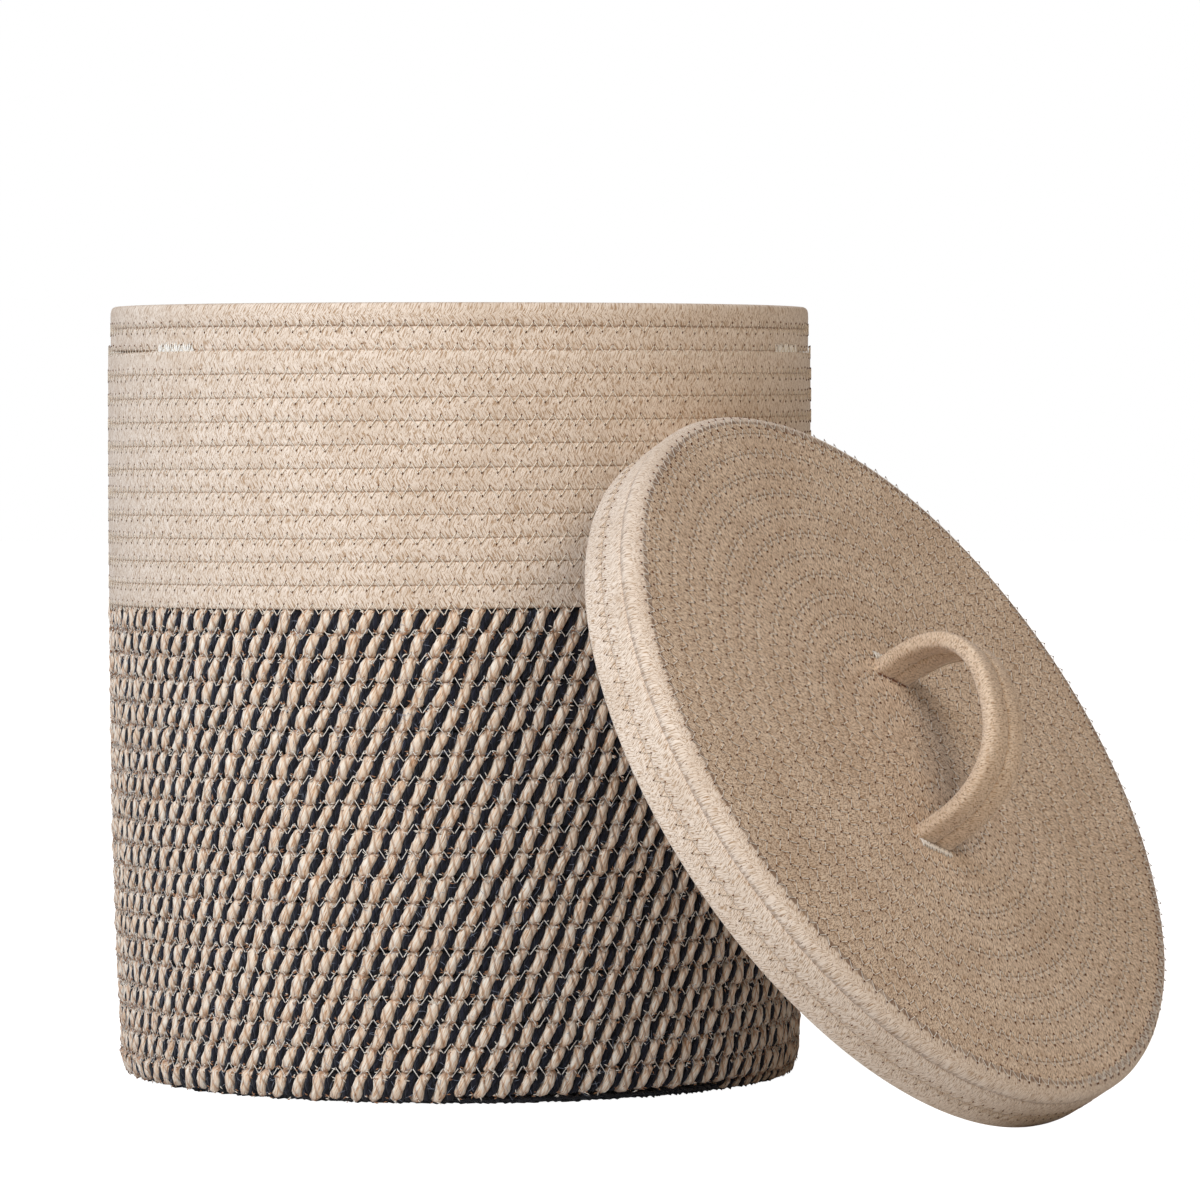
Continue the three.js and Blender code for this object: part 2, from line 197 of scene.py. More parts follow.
class BasketColours(bpy.types.PropertyGroup):
    """Colours of the ropes and threads."""

    plain_light: colour("Plain rope, light", "Its raised fibres", 242, 226, 208)
    plain_dark: colour("Plain rope, dark", "Its hollows", 204, 180, 154)
    seam: colour("Seam", "Deep line between two rows", 172, 136, 100)
    natural_light: colour("Natural strand, light", "Its raised fibres", 255, 245, 228)
    natural_dark: colour("Natural strand, dark", "Its hollows", 236, 200, 164)
    dark_light: colour("Dark strand, light", "Its raised fibres", 34, 36, 50)
    dark_deep: colour("Dark strand, deep", "Its hollows", 7, 8, 14)
    lid_light: colour("Lid rope, light", "Its raised fibres", 246, 225, 200)
    lid_dark: colour("Lid rope, dark", "Its hollows", 192, 162, 130)
    handle_light: colour("Handle rope, light", "Its raised fibres", 234, 212, 186)
    # Brown painted shade where the natural strand dives into the seams, and in its hollows.
    brown_shade: colour("Brown shade", "Natural strand's fibres at the seams", 176, 124, 84)
    groove: colour("Groove", "Dark specks and seams of the plain rope", 150, 112, 78)
    # Also the painted shade along the lid corner row's border with the face.
    speck_and_border_shade: colour("Speck", "Dark specks on the lid's rope", 128, 96, 68)
    thread: colour("Thread", "Sewing thread", 255, 249, 238)
    plain_thread: colour("Plain rope thread", "Thread on the plain rope", 255, 243, 224)
    # Also the pale cord on the handle's far edge, a painted highlight of its rim.
    lid_thread: colour("Lid thread", "Sewing thread of the lid", 238, 220, 196)
    lint: colour("Lint", "Loose hairs on the two-tone rope", 150, 158, 176)
    # Painted shade of the stitch holes, on the thread's ends, and of the slots at the handle's
    # feet.
    hole: colour("Stitch hole", "Where the thread goes into the rope", 118, 70, 38)


def choices(context):
    """Sizes and colours as they are set."""
    return context.scene.basket_sizes, context.scene.basket_colours


# Small numeric helpers.


def unit(vectors):
    """The same vectors with a length of one."""
    return vectors / np.linalg.norm(vectors, axis=1, keepdims=True)


def smooth(share):
    """Smooth step from 0 to 1."""
    held = np.clip(share, 0, 1)
    return held * held * (3 - 2 * held)


def wander(position, spacing, seed):
    """Smooth random values from -1 to 1 along a line, with a new one at every spacing."""
    places = (position - position.min()) / spacing
    before = np.floor(places).astype(int)
    values = np.random.default_rng(seed).uniform(-1, 1, before.max() + 2)
    share = smooth(places - before)
    return values[before] * (1 - share) + values[before + 1] * share


def distance(points):
    """Distance from the first point along a line of points."""
    steps = np.linalg.norm(np.diff(points, axis=0), axis=1)
    return np.concatenate([[0.0], np.cumsum(steps)])


def round_axis(angle, radius, height):
    """Places round an axis, and the level directions out to them."""
    radial = np.stack([np.cos(angle), np.sin(angle), 0 * angle], 1)
    centre = radial * np.reshape(radius, (-1, 1))
    centre[:, 2] = height
    return centre, radial


def jog(past):
    """Step of a level row near its ends, from -0.5 to 0.5 rows. past is turns since its middle."""
    return np.sign(past) * 0.5 * smooth((np.abs(past) - 0.5 + JOG_REACH) / JOG_REACH)


def tapered(count, ends=6):
    """Share of full size at each of a number of rings, rounded off over some at each end."""
    curve = np.sqrt(1 - (1 - (np.arange(ends) + 0.35) / ends) ** 2)
    share = np.ones(count)
    share[:ends] = curve
    share[-ends:] = curve[::-1]
    return share


# Rings, which tubes are laid along.


def rings_of(centre, out, side, half_out, half_side, along=None, **more):
    """Arrays with a row for each ring, also of what is the same for all.

    out and side are unit vectors, half_out and half_side the half sizes along them, and along the
    distance from the start, for the pattern. Some rings have more: ply, the turn of a strand's two
    yarns. rope, the rings of the rope that a strand lies in. power, where the squareness changes.
    open, where a side is no seam (1 upper, -1 lower, 0 none), and border, where a side meets
    another row from above.
    """
    count = len(centre)
    return {
        "centre": centre,
        "out": np.broadcast_to(out, (count, 3)),
        "side": np.broadcast_to(side, (count, 3)),
        "half_out": np.broadcast_to(half_out, count),
        "half_side": np.broadcast_to(half_side, count),
        "along": distance(centre) if along is None else along,
        **more,
    }


def pick(rings, which):
    """Some of the rings, by a slice or an array of their numbers."""
    return {key: pick(values, which) if key == "rope" else values[which]
            for key, values in rings.items()}


def placed(own_frame, rings):
    """Rings from a frame of their own, with its turn and origin, in that of the whole object."""
    turn, origin = own_frame
    return {**rings, "centre": rings["centre"] @ turn.T + origin,
            "out": rings["out"] @ turn.T, "side": rings["side"] @ turn.T}


def rounded(value, power):
    """Sine or cosine for a section between round, at a power of 2, and square."""
    return np.sign(value) * np.abs(value) ** (2 / power)


def outline_of(rings, power, sides):
    """Distances round the section of a tube of mean size, from the middle of its lower side."""
    angle = np.linspace(0, TURN, sides + 1)
    return distance(np.stack([rounded(np.sin(angle), power) * rings["half_out"].mean(),
                              rounded(np.cos(angle), power) * rings["half_side"].mean()], 1))


def girth_of(rings, power=2.0):
    """Mean distance round a tube."""
    return float(outline_of(rings, power, 240)[-1])


def pressed(points, rope):
    """Points of a round rope that its neighbours press square, and how near its seams they are."""
    away = points - rope["centre"]
    out = (away * rope["out"]).sum(1) / rope["half_out"]
    side = (away * rope["side"]).sum(1) / rope["half_side"]
    circle = np.hypot(out, side)
    square = (np.abs(out) ** PRESSED_POWER + np.abs(side) ** PRESSED_POWER) ** (1 / PRESSED_POWER)
    grow = (circle / np.maximum(square, 1e-6) - 1) * np.clip(circle, 0, 1)
    moved = (points + rope["out"] * (grow * out * rope["half_out"])[:, None]
             + rope["side"] * (grow * side * rope["half_side"])[:, None])
    return moved, np.abs(side * (1 + grow))


# Meshes.


def points_of(mesh):
    """Vertex places of a mesh, one row each."""
    flat = np.empty(3 * len(mesh.vertices), np.float32)
    mesh.vertices.foreach_get("co", flat)
    return flat.reshape(-1, 3).astype(float)


def put(items, key, values):
    """Sets a number or a vector of each of a mesh's items."""
    items.foreach_set(key, values.astype(np.float32).ravel())


def put_points(mesh, points):
    """Moves a mesh's vertices to new places."""
    put(mesh.vertices, "co", points)
    mesh.update()


def put_values(mesh, name, values):
    """Gives each vertex of a mesh a value that its material reads."""
    put(mesh.attributes.new(name, "FLOAT", "POINT").data, "value", values)


def link(name, mesh, material):
    """Object of a finished mesh, in the scene."""
    piece = bpy.data.objects.new(name, mesh)
    bpy.context.scene.collection.objects.link(piece)
    mesh.materials.append(material)
    mesh.shade_smooth()
    return piece


def facing_out(mesh, pointed):
    """Turns a closed mesh's faces outwards, once its pointed ends are closed."""
    shape = bmesh.new()
    shape.from_mesh(mesh)
    if pointed:
        bmesh.ops.remove_doubles(shape, verts=shape.verts, dist=0.001 * MM)
    if shape.calc_volume(signed=True) < 0:
        bmesh.ops.reverse_faces(shape, faces=shape.faces)
    shape.to_mesh(mesh)
    shape.free()


def rolled_grid(name, steps, sides, stretch):
    """Grid that is rolled up round the X axis and closed. It keeps its flat places as a UV map."""
    shape = bmesh.new()
    bmesh.ops.create_grid(shape, x_segments=steps, y_segments=sides, size=0.5)
    mesh = bpy.data.meshes.new(name)
    shape.to_mesh(mesh)
    shape.free()
    flat = points_of(mesh) + 0.5
    corners = np.empty(len(mesh.loops), np.int32)
    mesh.loops.foreach_get("vertex_index", corners)
    put(mesh.uv_layers.new(name="UVMap").data, "uv", flat[corners, :2])
    angle = TURN * flat[:, 1]
    put_points(mesh, np.stack([flat[:, 0] * steps, np.cos(angle), np.sin(angle)], 1))
    shape = bmesh.new()
    shape.from_mesh(mesh)
    bmesh.ops.remove_doubles(shape, verts=shape.verts, dist=0.01)
    if stretch:
        cuts = [face for face in shape.faces
                if math.floor(face.calc_center_median().x) % stretch == stretch - 1]
        bmesh.ops.delete(shape, geom=cuts, context="FACES")
    else:
        bmesh.ops.holes_fill(shape, edges=[e for e in shape.edges if e.is_boundary], sides=0)
    shape.to_mesh(mesh)
    shape.free()
    return mesh


def tube(name, rings, sides, material, power=2.0, stretch=0):
    """Closed tube through rings. A grid is rolled up, welded, capped and then laid along them.

    With a stretch, the tube is cut after every so many rings, and its pieces have pointed ends.
    A tube with three sides, which is a thread or a hair, has a flat one outside.
    """
    steps = len(rings["centre"]) - 1
    mesh = rolled_grid(name, steps, sides, stretch)
    rolled = points_of(mesh)
    here = pick(rings, np.clip(np.rint(rolled[:, 0]).astype(int), 0, steps))
    start = math.pi if sides == 3 else math.pi / 2
    angle = np.arctan2(rolled[:, 2], rolled[:, 1]) - start
    powers = here.get("power", power)
    outwards = rounded(np.cos(angle), powers) * here["half_out"]
    sideways = rounded(np.sin(angle), powers) * here["half_side"]
    if "ply" in here:
        swell = 1 + YARN_SWELL * np.cos(2 * angle - here["ply"])
        outwards, sideways = outwards * swell, sideways * swell
    points = here["centre"] + here["out"] * outwards[:, None] + here["side"] * sideways[:, None]
    if "rope" in here:
        # How near each point is to the seams, where the material paints brown shade.
        points, near_seam = pressed(points, here["rope"])
        put_values(mesh, "near_seam", near_seam)
    # Each side's share of an open or border edge; the material paints shade along the border.
    for key in ("open", "border"):
        if key in here:
            put_values(mesh, f"{key}_edge", np.clip(2 * here[key] * np.sin(angle), 0, 1))
    put_points(mesh, points)

    layer = mesh.uv_layers["UVMap"].data
    uv = np.empty(2 * len(layer), np.float32)
    layer.foreach_get("uv", uv)
    uv = uv.reshape(-1, 2)
    ring = np.clip(np.rint(uv[:, 0] * steps).astype(int), 0, steps)
    around = outline_of(rings, power, sides)
    around *= girth_of(rings, power) / around[-1]
    side = np.rint(uv[:, 1] * sides).astype(int)
    put(layer, "uv", np.stack([rings["along"][ring], around[side]], 1))
    facing_out(mesh, pointed=stretch > 0)
    return link(name, mesh, material)


def in_stretches(name, rings, count, sides, material):
    """A long tube as a number of pieces that meet end to end."""
    edges = np.linspace(0, len(rings["centre"]) - 1, count + 1).astype(int)
    return [tube(f"{name}_{index + 1}", pick(rings, slice(start, end + 1)), sides, material)
            for index, (start, end) in enumerate(zip(edges, edges[1:]))]


def ride(piece, body, slot, *nodes):
    """Fixes a piece to its body and hides the parts of the model that it stands for."""
    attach(piece, body)
    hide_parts(*nodes)


# The wall's rope runs up in a helix, one row for each turn, counted from the front of the foot.


def seam_height(sizes, turns):
    """Height of the seam on top of the rope. The rim rows are level, with a climb at the back."""
    nearest = np.floor(turns + 0.5)
    past = turns - nearest
    tilt = np.clip((RIM_SEAM - turns) / (RIM_SEAM - LEVEL_FROM), 0, 1)
    rows = nearest + tilt * past + (1 - tilt) * jog(past)
    return np.interp(rows, [0, TWO_TONE_ROWS, ALL_ROWS],
                     [sizes.foot_height, sizes.seam_height, sizes.basket_height])


def slit_opening(sizes, turns):
    """Half height of the slack seam at some turns, which is above zero only in the grip slits."""
    seam = np.abs(np.floor(turns + 0.5) - RIM_SEAM) < 0.5
    angle = FRONT + TURN * turns
    away = np.min([np.abs(np.angle(np.exp(1j * (angle - math.radians(middle)))))
                   for middle in SLIT_DIRECTIONS], axis=0)
    share = np.clip(1 - (away / (sizes.slit_span / 2)) ** 2, 0, 1)
    return np.where(seam, sizes.slit_gap * np.sqrt(share), 0)


def rim_seam_height(sizes):
    """Height of the seam that has the grip slits."""
    return float(seam_height(sizes, np.array([float(RIM_SEAM)]))[0])


def wall_radius(sizes, height):
    """Radius over the crowns of the rows at a height."""
    share = (height - rim_seam_height(sizes) + 1 * MM) / (3 * MM)
    set_in = smooth(share) * (sizes.basket_radius - sizes.rim_radius)
    low = np.clip(1 - height / sizes.basket_height, 0, 1)
    return sizes.basket_radius - set_in - sizes.foot_taper * low ** 3.5


def wall_turns(sizes, start, end, step):
    """Turns from start to end, with a ring for each step along the rope."""
    steps = int((end - start) * TURN * sizes.basket_radius / step)
    return np.linspace(start, end, steps + 1)


def wall_rope(sizes, turns):
    """Rings of the wall's rope at some turns. Its lowest row leans in."""
    top = seam_height(sizes, turns) - slit_opening(sizes, turns)
    below = np.where(turns < 1, sizes.toe_height,
                     seam_height(sizes, turns - 1) + slit_opening(sizes, turns - 1))
    height = (top + below) / 2
    radius = wall_radius(sizes, height) - sizes.rope_thickness / 2
    centre, radial = round_axis(FRONT + TURN * turns, radius, height)
    half = (top - below) / 2
    lean = 0.35 * smooth(1.6 - turns)[:, None]
    full = (sizes.basket_height - sizes.seam_height) / (ALL_ROWS - TWO_TONE_ROWS) / 2
    thin = np.clip(half / full, 0.05, 1) ** 0.5
    return rings_of(centre, unit(radial - UP * lean), unit(radial * lean + UP),
                    sizes.rope_thickness / 2 * thin, half)


def strand_of(rope, lay, reach_out, reach_side, radius, wide, pinch=0.0):
    """Rings of one strand that winds round the middle of a rope. lay is its turn round the middle.

    wide is its width along the rope's surface, as a share of its thickness, and pinch the share of
    that which it loses at the seams.
    """
    run = rope["along"]
    lay = lay + 0.3 * wander(run, 0.04, SEED_LAY) + 0.5 * wander(run, 0.4, SEED_LAY + 2)
    spoke_out = np.cos(lay)[:, None] * rope["out"]
    spoke_side = np.sin(lay)[:, None] * rope["side"]
    centre = rope["centre"] + spoke_out * reach_out[:, None] + spoke_side * reach_side[:, None]
    tangent = unit(np.gradient(centre, axis=0))
    spoke = spoke_out + spoke_side
    out = unit(spoke - (spoke * tangent).sum(1)[:, None] * tangent)
    girth = radius * (1 + 0.1 * wander(run, 0.006, SEED_LAY + 1))
    along = distance(centre)
    return rings_of(centre, out, np.cross(tangent, out), girth,
                    girth * (wide * (1 - pinch * np.sin(lay) ** 6)), along,
                    ply=TURN * along / YARN_TURN, rope=rope)


# A seam is its length and a function. That takes distances along the seam and gives the places on
# it, at the height of the rows' crowns, with the directions out of the rows and across the seam.


def spiral_seam(turns, radius, place):
    """Seam that runs round the axis. place gives what a seam's function does, at some turns."""
    gone = distance(round_axis(TURN * turns, radius, 0)[0])
    return gone[-1], lambda places: place(np.interp(places, gone, turns))


def wall_seam(sizes, start, end, lift, side):
    """Seam on top of the wall's rope. side is 1 outside and -1 inside."""
    def radius(turn):
        return wall_radius(sizes, seam_height(sizes, turn)) - sizes.rope_thickness / 2

    def place(turn):
        centre, radial = round_axis(FRONT + TURN * turn, radius(turn) + side * lift,
                                    seam_height(sizes, turn))
        return centre, side * radial, UP

    turns = np.linspace(start, end, int((end - start) * SEAM_PLACES) + 1)
    return spiral_seam(turns, radius(turns), place)


def tack_seam(sizes, middle):
    """Short level seam at an end of a grip slit, round an angle."""
    radius = sizes.rim_radius + 0.15 * MM
    span = sizes.tack_span * 0.8

    def at(places):
        centre, radial = round_axis(middle - span / 2 + places / radius, radius,
                                    rim_seam_height(sizes))
        return centre, radial, UP

    return radius * span, at


def zigzag(seam, rings_per_stroke, radius, reach, period, sink, seed, dive=0.0, tip=3.2):
    """Rings of a thread that zigzags over a seam, sinks at its middle and dives in at each tip.

    tip is the width at each hole, as a share of the thread's.
    """
    total, at = seam
    strokes = int(total / (period / 2))
    shares = {3: [0.0, 0.1, 0.9], 4: [0.0, 0.1, 0.5, 0.9]}[rings_per_stroke]
    draw = np.random.default_rng(seed)

    # The tips are a little off their places, and the strokes don't all reach as far.
    number = np.arange(strokes + 2)
    tips = number * period / 2 + draw.uniform(-0.35, 0.35, strokes + 2) * MM
    swing = np.where(number % 2, 1, -1) * reach * draw.uniform(0.82, 1.12, strokes + 2)
    index = np.repeat(np.arange(strokes), rings_per_stroke)
    share = np.tile(shares, strokes)
    place = tips[index] * (1 - share) + tips[index + 1] * share
    across = swing[index] * (1 - share) + swing[index + 1] * share
    at_tip = share == 0
    at_seam = np.clip(1 - np.abs(across) / reach, 0, 1)
    centre, out, side = at(np.clip(place, 0, total))
    lift = np.where(at_tip, -dive, radius * 0.9) - sink * at_seam
    centre = centre + side * across[:, None] + out * lift[:, None]
    tangent = unit(np.gradient(centre, axis=0))
    level = unit(out - (out * tangent).sum(1)[:, None] * tangent)
    return rings_of(centre, level, np.cross(tangent, level),
                    np.where(at_tip, radius * 1.3, radius * 0.85),
                    np.where(at_tip, radius * tip, radius * 1.15), index + share)


# Materials.


class Finish:
    """A material whose nodes are added one by one."""

    def __init__(self, name):
        self.material = bpy.data.materials.new(name)
        self.material.use_nodes = True
        self.tree = self.material.node_tree
        self.shader = self.tree.nodes["Principled BSDF"]
        self.uv = self.add("UVMap").outputs["UV"]
        axes = self.add("SeparateXYZ", {"Vector": self.uv}).outputs
        self.along, self.around = axes["X"], axes["Y"]

    def add(self, kind, inputs=None, **settings):
        """New node with its settings, and with each input linked or set."""
        node = self.tree.nodes.new("ShaderNode" + kind)
        for key, value in settings.items():
            setattr(node, key, value)
        for socket, value in (inputs or {}).items():
            if isinstance(value, bpy.types.NodeSocket):
                self.tree.links.new(value, node.inputs[socket])
            else:
                node.inputs[socket].default_value = value
        return node

    def math(self, operation, first, second=0.0):
        """Result of an operation on two values."""
        return self.add("Math", {0: first, 1: second}, operation=operation).outputs["Value"]

    def times(self, first, second):
        """Product of two values."""
        return self.math("MULTIPLY", first, second)

    def rest(self, share):
        """What a share leaves of 1."""
        return self.math("SUBTRACT", 1.0, share)

    def between(self, value, low, high):
        """Smooth step from 0 at low to 1 at high."""
        inputs = {"Value": value, "From Min": low, "From Max": high}
        return self.add("MapRange", inputs, interpolation_type="SMOOTHSTEP").outputs["Result"]

    def of_mesh(self, name):
        """Value that each vertex of the mesh has, or 0 where the mesh has none."""
        return self.add("Attribute", attribute_name=name).outputs["Fac"]

    def mix(self, share, first, second):
        """Mix of two colours."""
        inputs = {"Factor": share, 6: first, 7: second}
        return self.add("Mix", inputs, data_type="RGBA").outputs[2]

    def over(self, base, share, strength, tint):
        """A colour with another one over it, as far as a share and a strength say."""
        return self.mix(self.times(share, strength), base, tint)

    def fibres(self, angle, long, wide, detail=2.0):
        """Noise that is stretched along an angle of the pattern."""
        laid = self.add("Mapping", {
            "Vector": self.uv,
            "Rotation": (0.0, 0.0, math.radians(angle)),
            "Scale": (long, wide, 1.0),
        }, vector_type="TEXTURE").outputs["Vector"]
        noise = self.add("TexNoise", {
            "Vector": laid, "Scale": 1.0, "Detail": detail, "Roughness": 0.55, "Distortion": 0.25,
        }, noise_dimensions="2D")
        return noise.outputs["Fac"]

    def blotches(self, size):
        """Noise over the whole object."""
        place = self.add("TexCoord").outputs["Object"]
        noise = self.add("TexNoise", {"Vector": place, "Scale": 1 / size, "Detail": 3.0})
        return noise.outputs["Fac"]

    def end(self, base, height, depth, roughness=0.92, sheen=0.25, shine=0.18):
        """Joins the colour and the bump to the shader."""
        self.tree.links.new(base, self.shader.inputs["Base Color"])
        bump = self.add("Bump", {"Height": height, "Strength": 1.0, "Distance": depth})
        self.tree.links.new(bump.outputs["Normal"], self.shader.inputs["Normal"])
        self.shader.inputs["Roughness"].default_value = roughness
        self.shader.inputs["Specular IOR Level"].default_value = shine
        self.shader.inputs["Sheen Weight"].default_value = sheen
        self.shader.inputs["Sheen Roughness"].default_value = 0.6
        return self.material


def braided(name, light, dark, seam, speck_and_border_shade, girth, corner, depth, coarse, size=1.0, dashes=0.5):
    """Braided rope: short fibres that lean one way above the crown and the other way below it.

    Its seams are darker by depth, and in dashes by more. A lower coarse gives more dark specks.
    """
    finish = Finish(name)
    long, wide = 4.4 * MM * size, 0.62 * MM * size
    rising = finish.fibres(68, long, wide, detail=1.2)
    falling = finish.fibres(-64, long, wide, detail=1.2)
    uneven = finish.math("MULTIPLY_ADD", finish.fibres(0, 2 * MM, 2 * MM), 8 * MM)
    uneven.node.inputs[2].default_value = -4 * MM
    half = finish.math("ADD", finish.math("MODULO", finish.around, girth / 2), uneven)
    upper = finish.between(half, girth / 4 - 0.8 * MM, girth / 4 + 0.8 * MM)
    height = finish.add("Mix", {"Factor": upper, 2: falling, 3: rising}).outputs[0]
    base = finish.mix(finish.between(height, 0.34, 0.6), dark, light)
    base = finish.over(base, finish.between(finish.blotches(0.035), 0.42, 0.7), 0.3, dark)
    base = finish.over(base, finish.rest(finish.between(height, 0.3, 0.4)), 0.7, seam)
    specks = finish.fibres(70, 1.7 * MM, 0.75 * MM, detail=1.0)
    base = finish.over(base, finish.between(specks, coarse, coarse + 0.07), 0.75, speck_and_border_shade)

    dash = finish.between(finish.fibres(0, 2.2 * MM, 60 * MM, detail=0.0), 0.5, 0.57)
    # Painted shade: where a side meets a row from above, the seam's dark line is wider and darker.
    border = finish.of_mesh("border_edge")
    edge = finish.math("SUBTRACT", finish.math("PINGPONG", finish.around, girth / 4),
                       finish.times(dash, 1.2 * MM * dashes))
    edge = finish.math("SUBTRACT", edge, finish.times(border, 1.3 * MM))
    deep = finish.rest(finish.between(edge, corner - 0.3 * MM, corner + 0.3 * MM))
    deep = finish.times(deep, finish.rest(finish.of_mesh("open_edge")))
    amount = finish.math("ADD", finish.times(dash, dashes), depth)
    amount = finish.math("ADD", amount, finish.times(border, 0.35))
    return finish.end(finish.over(base, deep, amount, speck_and_border_shade), height, 0.3 * MM * size)


def twisted(name, light, dark, girth, ply, sheen=0.25, brown_shade=None):
    """Strand of twisted yarns: fibres that lean off its length, and grooves between its yarns."""
    finish = Finish(name)
    fibre = finish.fibres(24, 6 * MM, 0.7 * MM)
    turns = finish.math("ADD", finish.math("DIVIDE", finish.around, girth / 3),
                        finish.math("DIVIDE", finish.along, ply))
    groove = finish.between(finish.math("PINGPONG", turns, 0.5), 0.0, 0.24)
    # The tone falls by up to 35 % in the grooves between the yarns: painted shade.
    tone = finish.times(finish.between(fibre, 0.32, 0.66),
                        finish.math("ADD", finish.times(groove, 0.35), 0.65))
    base = finish.mix(tone, dark, light)
    base = finish.over(base, finish.between(finish.blotches(0.02), 0.45, 0.7), 0.25, dark)
    # Brown painted shade where the strand dives into the seams, and in its hollows and grooves.
    if brown_shade:
        near = finish.math("ADD", finish.of_mesh("near_seam"), finish.times(fibre, 0.7))
        base = finish.over(base, finish.between(near, 1.18, 1.4), 0.6, brown_shade)
        base = finish.over(base, finish.rest(finish.between(fibre, 0.3, 0.4)), 0.7, brown_shade)
        base = finish.over(base, finish.rest(finish.between(groove, 0.12, 0.4)), 0.55, brown_shade)
    height = finish.math("ADD", finish.times(groove, 1.1), fibre)
    return finish.end(base, height, 0.6 * MM, sheen=sheen)


def sewn(name, thread, hole, mouth=0.07):
    """Sewing thread that goes into the rope at each stroke's end, which is painted hole shade."""
    finish = Finish(name)
    past = finish.math("PINGPONG", finish.along, 0.5)
    # The ends take the hole colour: painted shade of the holes.
    deep = finish.rest(finish.between(past, mouth - 0.02, mouth + 0.02))
    return finish.end(finish.mix(deep, thread, hole), finish.fibres(30, 0.3, 0.2 * MM), 0.1 * MM,
                      roughness=0.8, sheen=0.0, shine=0.0)


def plain(name, tone):
    """Even thread or hair, a little mottled."""
    finish = Finish(name)
    mottled = tuple(0.6 * value for value in tone[:3]) + (1.0,)
    base = finish.over(tone, finish.blotches(0.01), 0.5, mottled)
    return finish.end(base, finish.blotches(0.001), 0.05 * MM, roughness=0.9)


# Pieces of the basket.


def base_rows(sizes):
    """Number of rows of the basket's floor, and their pitch."""
    outer = wall_radius(sizes, sizes.foot_height) - sizes.rope_thickness + BASE_TUCK
    rows = round(float(outer / BASE_PITCH))
    return rows, float(outer / rows)


def base_middle(sizes, radius):
    """Height of the middle of the floor's rope, which is thinner under the wall, at a radius."""
    rows, pitch = base_rows(sizes)
    low = smooth((radius - (rows - 3) * pitch) / (2 * pitch))
    return sizes.rope_thickness / 2 - 2.4 * MM * low


def base_seam(sizes, side):
    """Spiral seam of the basket's floor. side is 1 inside the basket and -1 underneath."""
    rows, pitch = base_rows(sizes)

    def place(turn):
        middle = base_middle(sizes, pitch * turn)
        centre, radial = round_axis(TURN * turn - FRONT, pitch * turn,
                                    middle + side * (middle - 0.7 * MM))
        return centre, side * UP, radial

    turns = np.linspace(0.6, rows - 0.3, rows * SEAM_PLACES)
    return spiral_seam(turns, turns * pitch, place)


def flat_spiral(rows, pitch, step, start):
    """Turns of a flat spiral of rope, and the radius of its outer and inner edge at them."""
    turns = np.linspace(start, rows + 0.85, int(math.pi * rows * pitch * (rows + 1.7) / step))
    return turns, pitch * np.minimum(turns, rows), pitch * np.maximum(turns - 1, 0)


def base_turns(sizes):
    """Rings of the flat spiral of the basket's floor."""
    turns, outside, inside = flat_spiral(*base_rows(sizes), FLOOR_STEP, 0.25)
    middle = (outside + inside) / 2
    height = base_middle(sizes, middle)
    centre, radial = round_axis(TURN * turns - FRONT, middle, height)
    return rings_of(centre, UP, radial, height, (outside - inside) / 2)


class ROPEBASKET_OT_base(bpy.types.Operator):
    """Build the dark spiral of the basket's floor"""

    bl_idname = "rope_basket.base"
    bl_label = "Basket Floor"

    def execute(self, context):
        sizes, colours = choices(context)
        rope = base_turns(sizes)
        finish = twisted("dark_base_rope", colours.dark_light, colours.dark_deep, girth=14 * MM,
                         ply=9 * MM)
        radius = np.minimum(BASE_STRAND, rope["half_out"] * 0.85)
        for name, phase in (("base_strand_a", 0.0), ("base_strand_b", math.pi)):
            lay = phase + TURN * rope["along"] / BASE_LAY
            strand = strand_of(rope, lay, rope["half_out"] - 0.1 * MM - radius,
                               rope["half_side"] * 0.56, radius, wide=1.0)
            ride(tube(name, strand, 6, finish), "basket", "base_rope", "base_coil")
        core = pick(rope, slice(None, None, 5))
        core["half_out"] = core["half_out"] * 0.45
        core["half_side"] = core["half_side"] + 0.3 * MM
        ride(tube("base_core", core, 6, finish), "basket", "base_rope", "base_coil")
        # Its ends at the holes take the dark strand's deepest tone, as painted shade.
        sewing = sewn("base_thread", colours.thread, colours.dark_deep)
        for place, side in (("inside", 1), ("underneath", -1)):
            rings = zigzag(base_seam(sizes, side), 3, 0.22 * MM, sizes.stitch_reach, sizes.stitch,
                           sink=0.3 * MM, seed=SEED_STITCH + 20 + side, dive=0.5 * MM)
            ride(tube(f"base_stitches_{place}", rings, 3, sewing), "basket", "thread",
                 "base_coil")
        return {"FINISHED"}


def two_tone_strands(sizes):
    """Rings of the lower wall's natural strand, its dark strand and the rope that they make."""
    turns = wall_turns(sizes, WALL_START, COLOUR_CHANGE, STRAND_STEP)
    rope = wall_rope(sizes, turns)
    lay = TURN * sizes.twists * turns
    fill = rope["half_out"] / (sizes.rope_thickness / 2)
    half = rope["half_side"]
    natural = np.minimum(sizes.natural_strand * fill, half * 0.62)
    dark = np.minimum(sizes.dark_strand * fill, half * 0.5)
    return (strand_of(rope, lay, rope["half_out"] + 0.1 * MM - natural,
                      half + 0.8 * MM - natural, natural, wide=0.96, pinch=0.06),
            strand_of(rope, lay + math.pi, rope["half_out"] - 0.6 * MM - dark,
                      half + 0.2 * MM - dark, dark, wide=1.25),
            rope)


